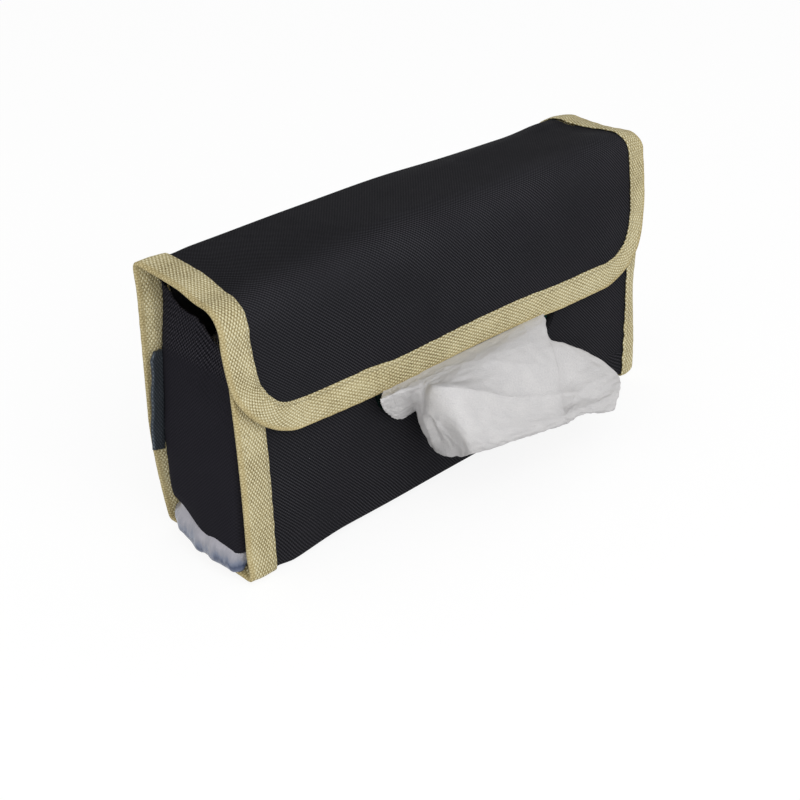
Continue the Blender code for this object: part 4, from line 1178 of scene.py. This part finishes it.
def stitches(name, corners, out, body, pitch=0.0028, length=0.0019, radius=0.00022):
    """Short threads along the straight lines between corners, standing on a face."""
    corners, out = np.array(corners, float), np.array(out, float)
    t = np.array((-0.5, -0.42, -0.25, 0.25, 0.42, 0.5))[:, None, None]
    size = radius * np.sqrt(np.maximum(1.02 - (2 * t) ** 4, 0.02))
    angle = np.radians(np.arange(0, 360, 60))[:, None]
    threads = []
    for start, way in zip(corners[:-1], np.diff(corners, axis=0)):
        distance = np.linalg.norm(way)
        ahead = way / distance
        around = np.cross(out, ahead) * np.cos(angle) + out * (0.4 + np.sin(angle))
        count = max(int(distance / pitch), 1)
        for middle in np.linspace(0, 1, count, endpoint=False) + 0.5 / count:
            threads.append(start + way * middle + ahead * length * t + around * size)
    faces = []
    for first in range(0, 36 * len(threads), 36):
        faces += [list(f + first) for f in grid_faces(6, 6, closed_columns=True)]
        faces += [[first + i for i in range(6)], [first + 35 - i for i in range(6)]]
    cloth = np.stack(np.broadcast_arrays(t[..., 0] * length, angle[:, 0] * radius, 0.0), -1)
    return add_piece(name, np.reshape(threads, (-1, 3)), faces,
                     np.tile(cloth.reshape(-1, 3), (len(threads), 1)), thread, body, 60)


patch_thickness, strap_thickness = 0.0005, 0.0011
loop_middle = gap + patch_thickness / 2
hook_middle = flap_lining[1] - gap - patch_thickness / 2


def tab_at(share, height, offset):
    """The tab: from the seam (share 0) to its free edge (1), lying on the rear binding."""
    level = np.clip((height - tab_foot) / (tab_head - tab_foot), 0, 1)
    seam = 0.1175 + 0.0018 * (1 - level) ** 2 - 0.0008 * level
    free = 0.1260 - 0.0030 * smooth(level)
    top = rise(level, 0.93, 0.07)
    x = seam + (free - 0.0016 * top - seam) * share
    droop = 0.0022 * (1 - share) * (1 - level) - 0.0006 * top * share
    y = tab_face - 0.0008 * share + 0.0003 * np.sin(height * 420) * share
    return np.stack([-x, y + offset, height - droop], -1)


tab_foot, tab_head = tab_low.z + 0.0010, tab_high.z + 0.0005
tab_face = (tab_low.y + tab_high.y) / 2 - 0.0004
tab_share, tab_height = np.meshgrid(np.linspace(0, 1, 22), spread(tab_foot, tab_head, 0.0006))
tab_half = 0.0007 * (0.35 + 0.65 * smooth(np.minimum(tab_share, 1 - tab_share) * 9))
tab_flecks = smooth(waves(tab_height, tab_share * 0.01, 41, 6, 0.012, 0.003))
# Painted highlight along the tab's free edge, and lighter flecks near its seam
tab_edge_highlight_and_flecks = (0.45 * np.exp(-((tab_share - 0.94) / 0.06) ** 2)
           + 0.5 * np.exp(-((tab_share - 0.06) / 0.09) ** 2) * tab_flecks)
tab = shell("tape_tab", tab_share, tab_height, tab_half, -tab_half, tab_cloth, tab_at,
            np.stack([tab_share * 0.006, tab_height, tab_edge_highlight_and_flecks * 0.001], -1))

for label, side in (("left", -1), ("right", 1)):
    for name, node, part, middle, body in (
            ("front_touch_", "front_loop_patch_", on_front, loop_middle, "case"),
            ("flap_touch_", "flap_hook_patch_", on_flap, hook_middle, "flap")):
        plate(name + label, node + label, patch_thickness,
              lambda a, b, offset: strip_at(a, run_on(part, b), middle + offset), body)
    for name, node, thickness, body in (
            ("strap_end_", "strap_root_", strap_thickness, "case"),
            ("back_touch_", "back_loop_pad_", patch_thickness, "case"),
            ("strap_touch_", "strap_hook_pad_", patch_thickness, label + "_strap"),
            ("rear_strap_", "strap_", strap_thickness, label + "_strap")):
        low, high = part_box(node + label)
        end = low.x if side < 0 else high.x

        def on_back(a, b, offset):
            ramp = rise(np.abs(a - end), 0.001, 0.007)
            root_y, band_y = low.y + thickness / 2, high.y - thickness / 2
            return np.stack([a, between(root_y, band_y, ramp) + offset, b], -1)

        plate(name + label, node + label, thickness, on_back, body, 0.0008)
    low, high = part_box("strap_root_" + label)
    x0, x1, z0, z1 = low.x + 0.002, high.x - 0.002, low.z + 0.002, high.z - 0.002
    face = high.y - 0.0001
    square = [(x0, face, z0), (x1, face, z0), (x1, face, z1), (x0, face, z1), (x0, face, z0),
              (x1, face, z1), (x0, face, z1), (x1, face, z0)]
    stitches("strap_stitches_" + label, square, (0, 1, 0), "case")

# What each piece rides on, its material slot and the nodes that it stands for. Two blends:
# case to lid over the rear fold, and lid to flap over the front fold.
rear_blend = ("case", "lid", (0, half_depth, 0.1095), (0, lid_rear, lid_top))
fore_blend = ("lid", "flap", (0, -0.004, lid_top), (0, -0.0245, 0.096))
front_board, base_board, back_board, lid_board = boards
for piece, body, slot_name, names in (
        (case_fabric, "case", "oxford", ("front_panel", "base_panel", "back_panel")),
        (rear_fabric, rear_blend, "oxford", ("lid_panel",)),
        (fore_fabric, fore_blend, "oxford", ("flap_panel",)),
        (gussets[0], "case", "oxford", ("left_gusset",)),
        (gussets[1], "case", "oxford", ("right_gusset",)),
        (tapes["wall_left"], "case", "webbing", ("left_binding",)),
        (tapes["wall_right"], "case", "webbing", ("right_binding",)),
        (tapes["rear_left"], rear_blend, "webbing", ("lid_binding_left",)),
        (tapes["rear_right"], rear_blend, "webbing", ("lid_binding_right",)),
        (tapes["flap"], fore_blend, "webbing", ("flap_binding",)),
        (front_board, "case", "board", ("front_board",)),
        (base_board, "case", "board", ("base_board",)),
        (back_board, "case", "board", ("back_board",)),
        (lid_board, "lid", "board", ("lid_board",)),
        (case_lining, "case", "lining", ("front_lining", "base_lining", "back_lining")),
        (rear_lining, rear_blend, "lining", ("lid_lining",)),
        (fore_lining, fore_blend, "lining", ("flap_lining",)),
        (facing, "case", "lining", ()),
        (film_bag, "case", "film", ("pack_wrapper",)),
        (stack, "case", "tissue", ("tissue_stack",)),
        (tissue, "case", "tissue", ("tissue_sheet",)),
        (tab, "case", "tab", ("side_tab",))):
    if body in ("case", "lid"):
        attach(piece, body)
    else:
        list(body)
        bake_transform(piece)
    if names:
        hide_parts(*names)

# Floor and light
floor_half, floor_height = 6.0, -0.0031
floor_mesh = bpy.data.meshes.new("floor")
floor_mesh.from_pydata([(x * floor_half, y * floor_half, 0)
                        for x, y in ((-1, -1), (1, -1), (1, 1), (-1, 1))], [], [(0, 1, 2, 3)])
floor = bpy.data.objects.new("floor", floor_mesh)
floor.location.z = floor_height
bpy.context.scene.collection.objects.link(floor)


def backdrop(owner, share, plain, bright, output):
    """Shade a material or world plainly for light, and by a share brightly for the rays
    that the camera, a mirror or a clear film sends."""
    tree = Tree(owner)
    tree.nodes.clear()
    path = tree.nodes.new("ShaderNodeLightPath")
    camera_ray, glossy, clear = [Value(tree, path.outputs["Is " + kind + " Ray"])
                                 for kind in ("Camera", "Glossy", "Transmission")]
    mixer = tree.nodes.new("ShaderNodeMixShader")
    tree.feed(mixer.inputs, (camera_ray + glossy + clear).clamp() * share,
              *[tree.add(kind, **inputs) for kind, inputs in (plain, bright)])
    tree.add(output, Surface=Value(tree, mixer.outputs[0]))


floor_paint, world = bpy.data.materials.new("floor_paint"), bpy.data.worlds.new("studio")
white = (1, 1, 1, 1)
backdrop(floor_paint, 0.80, ("BsdfDiffuse", {"Color": (0.82, 0.82, 0.82, 1)}),
         ("Emission", {"Strength": 1.10}), "OutputMaterial")
backdrop(world, 1.0, ("Background", {"Color": white, "Strength": 0.50}),
         ("Background", {"Color": white, "Strength": 1.0}), "OutputWorld")
floor_mesh.materials.append(floor_paint)
bpy.context.scene.world = world

light_target = Vector((0, 0, 0.05))
for name, place, size, power in (("key", (-0.40, -1.20, 0.90), 1.5, 11.5),
                                 ("fill", (-1.2, 0.0, 0.5), 0.8, 1.4)):
    data = bpy.data.lights.new(name, "AREA")
    data.shape, data.size, data.energy = "SQUARE", size, power
    lamp = bpy.data.objects.new(name, data)
    lamp.location = place
    lamp.rotation_euler = (light_target - Vector(place)).to_track_quat("-Z", "Y").to_euler()
    bpy.context.scene.collection.objects.link(lamp)

bpy.context.scene.view_settings.view_transform = "Standard"
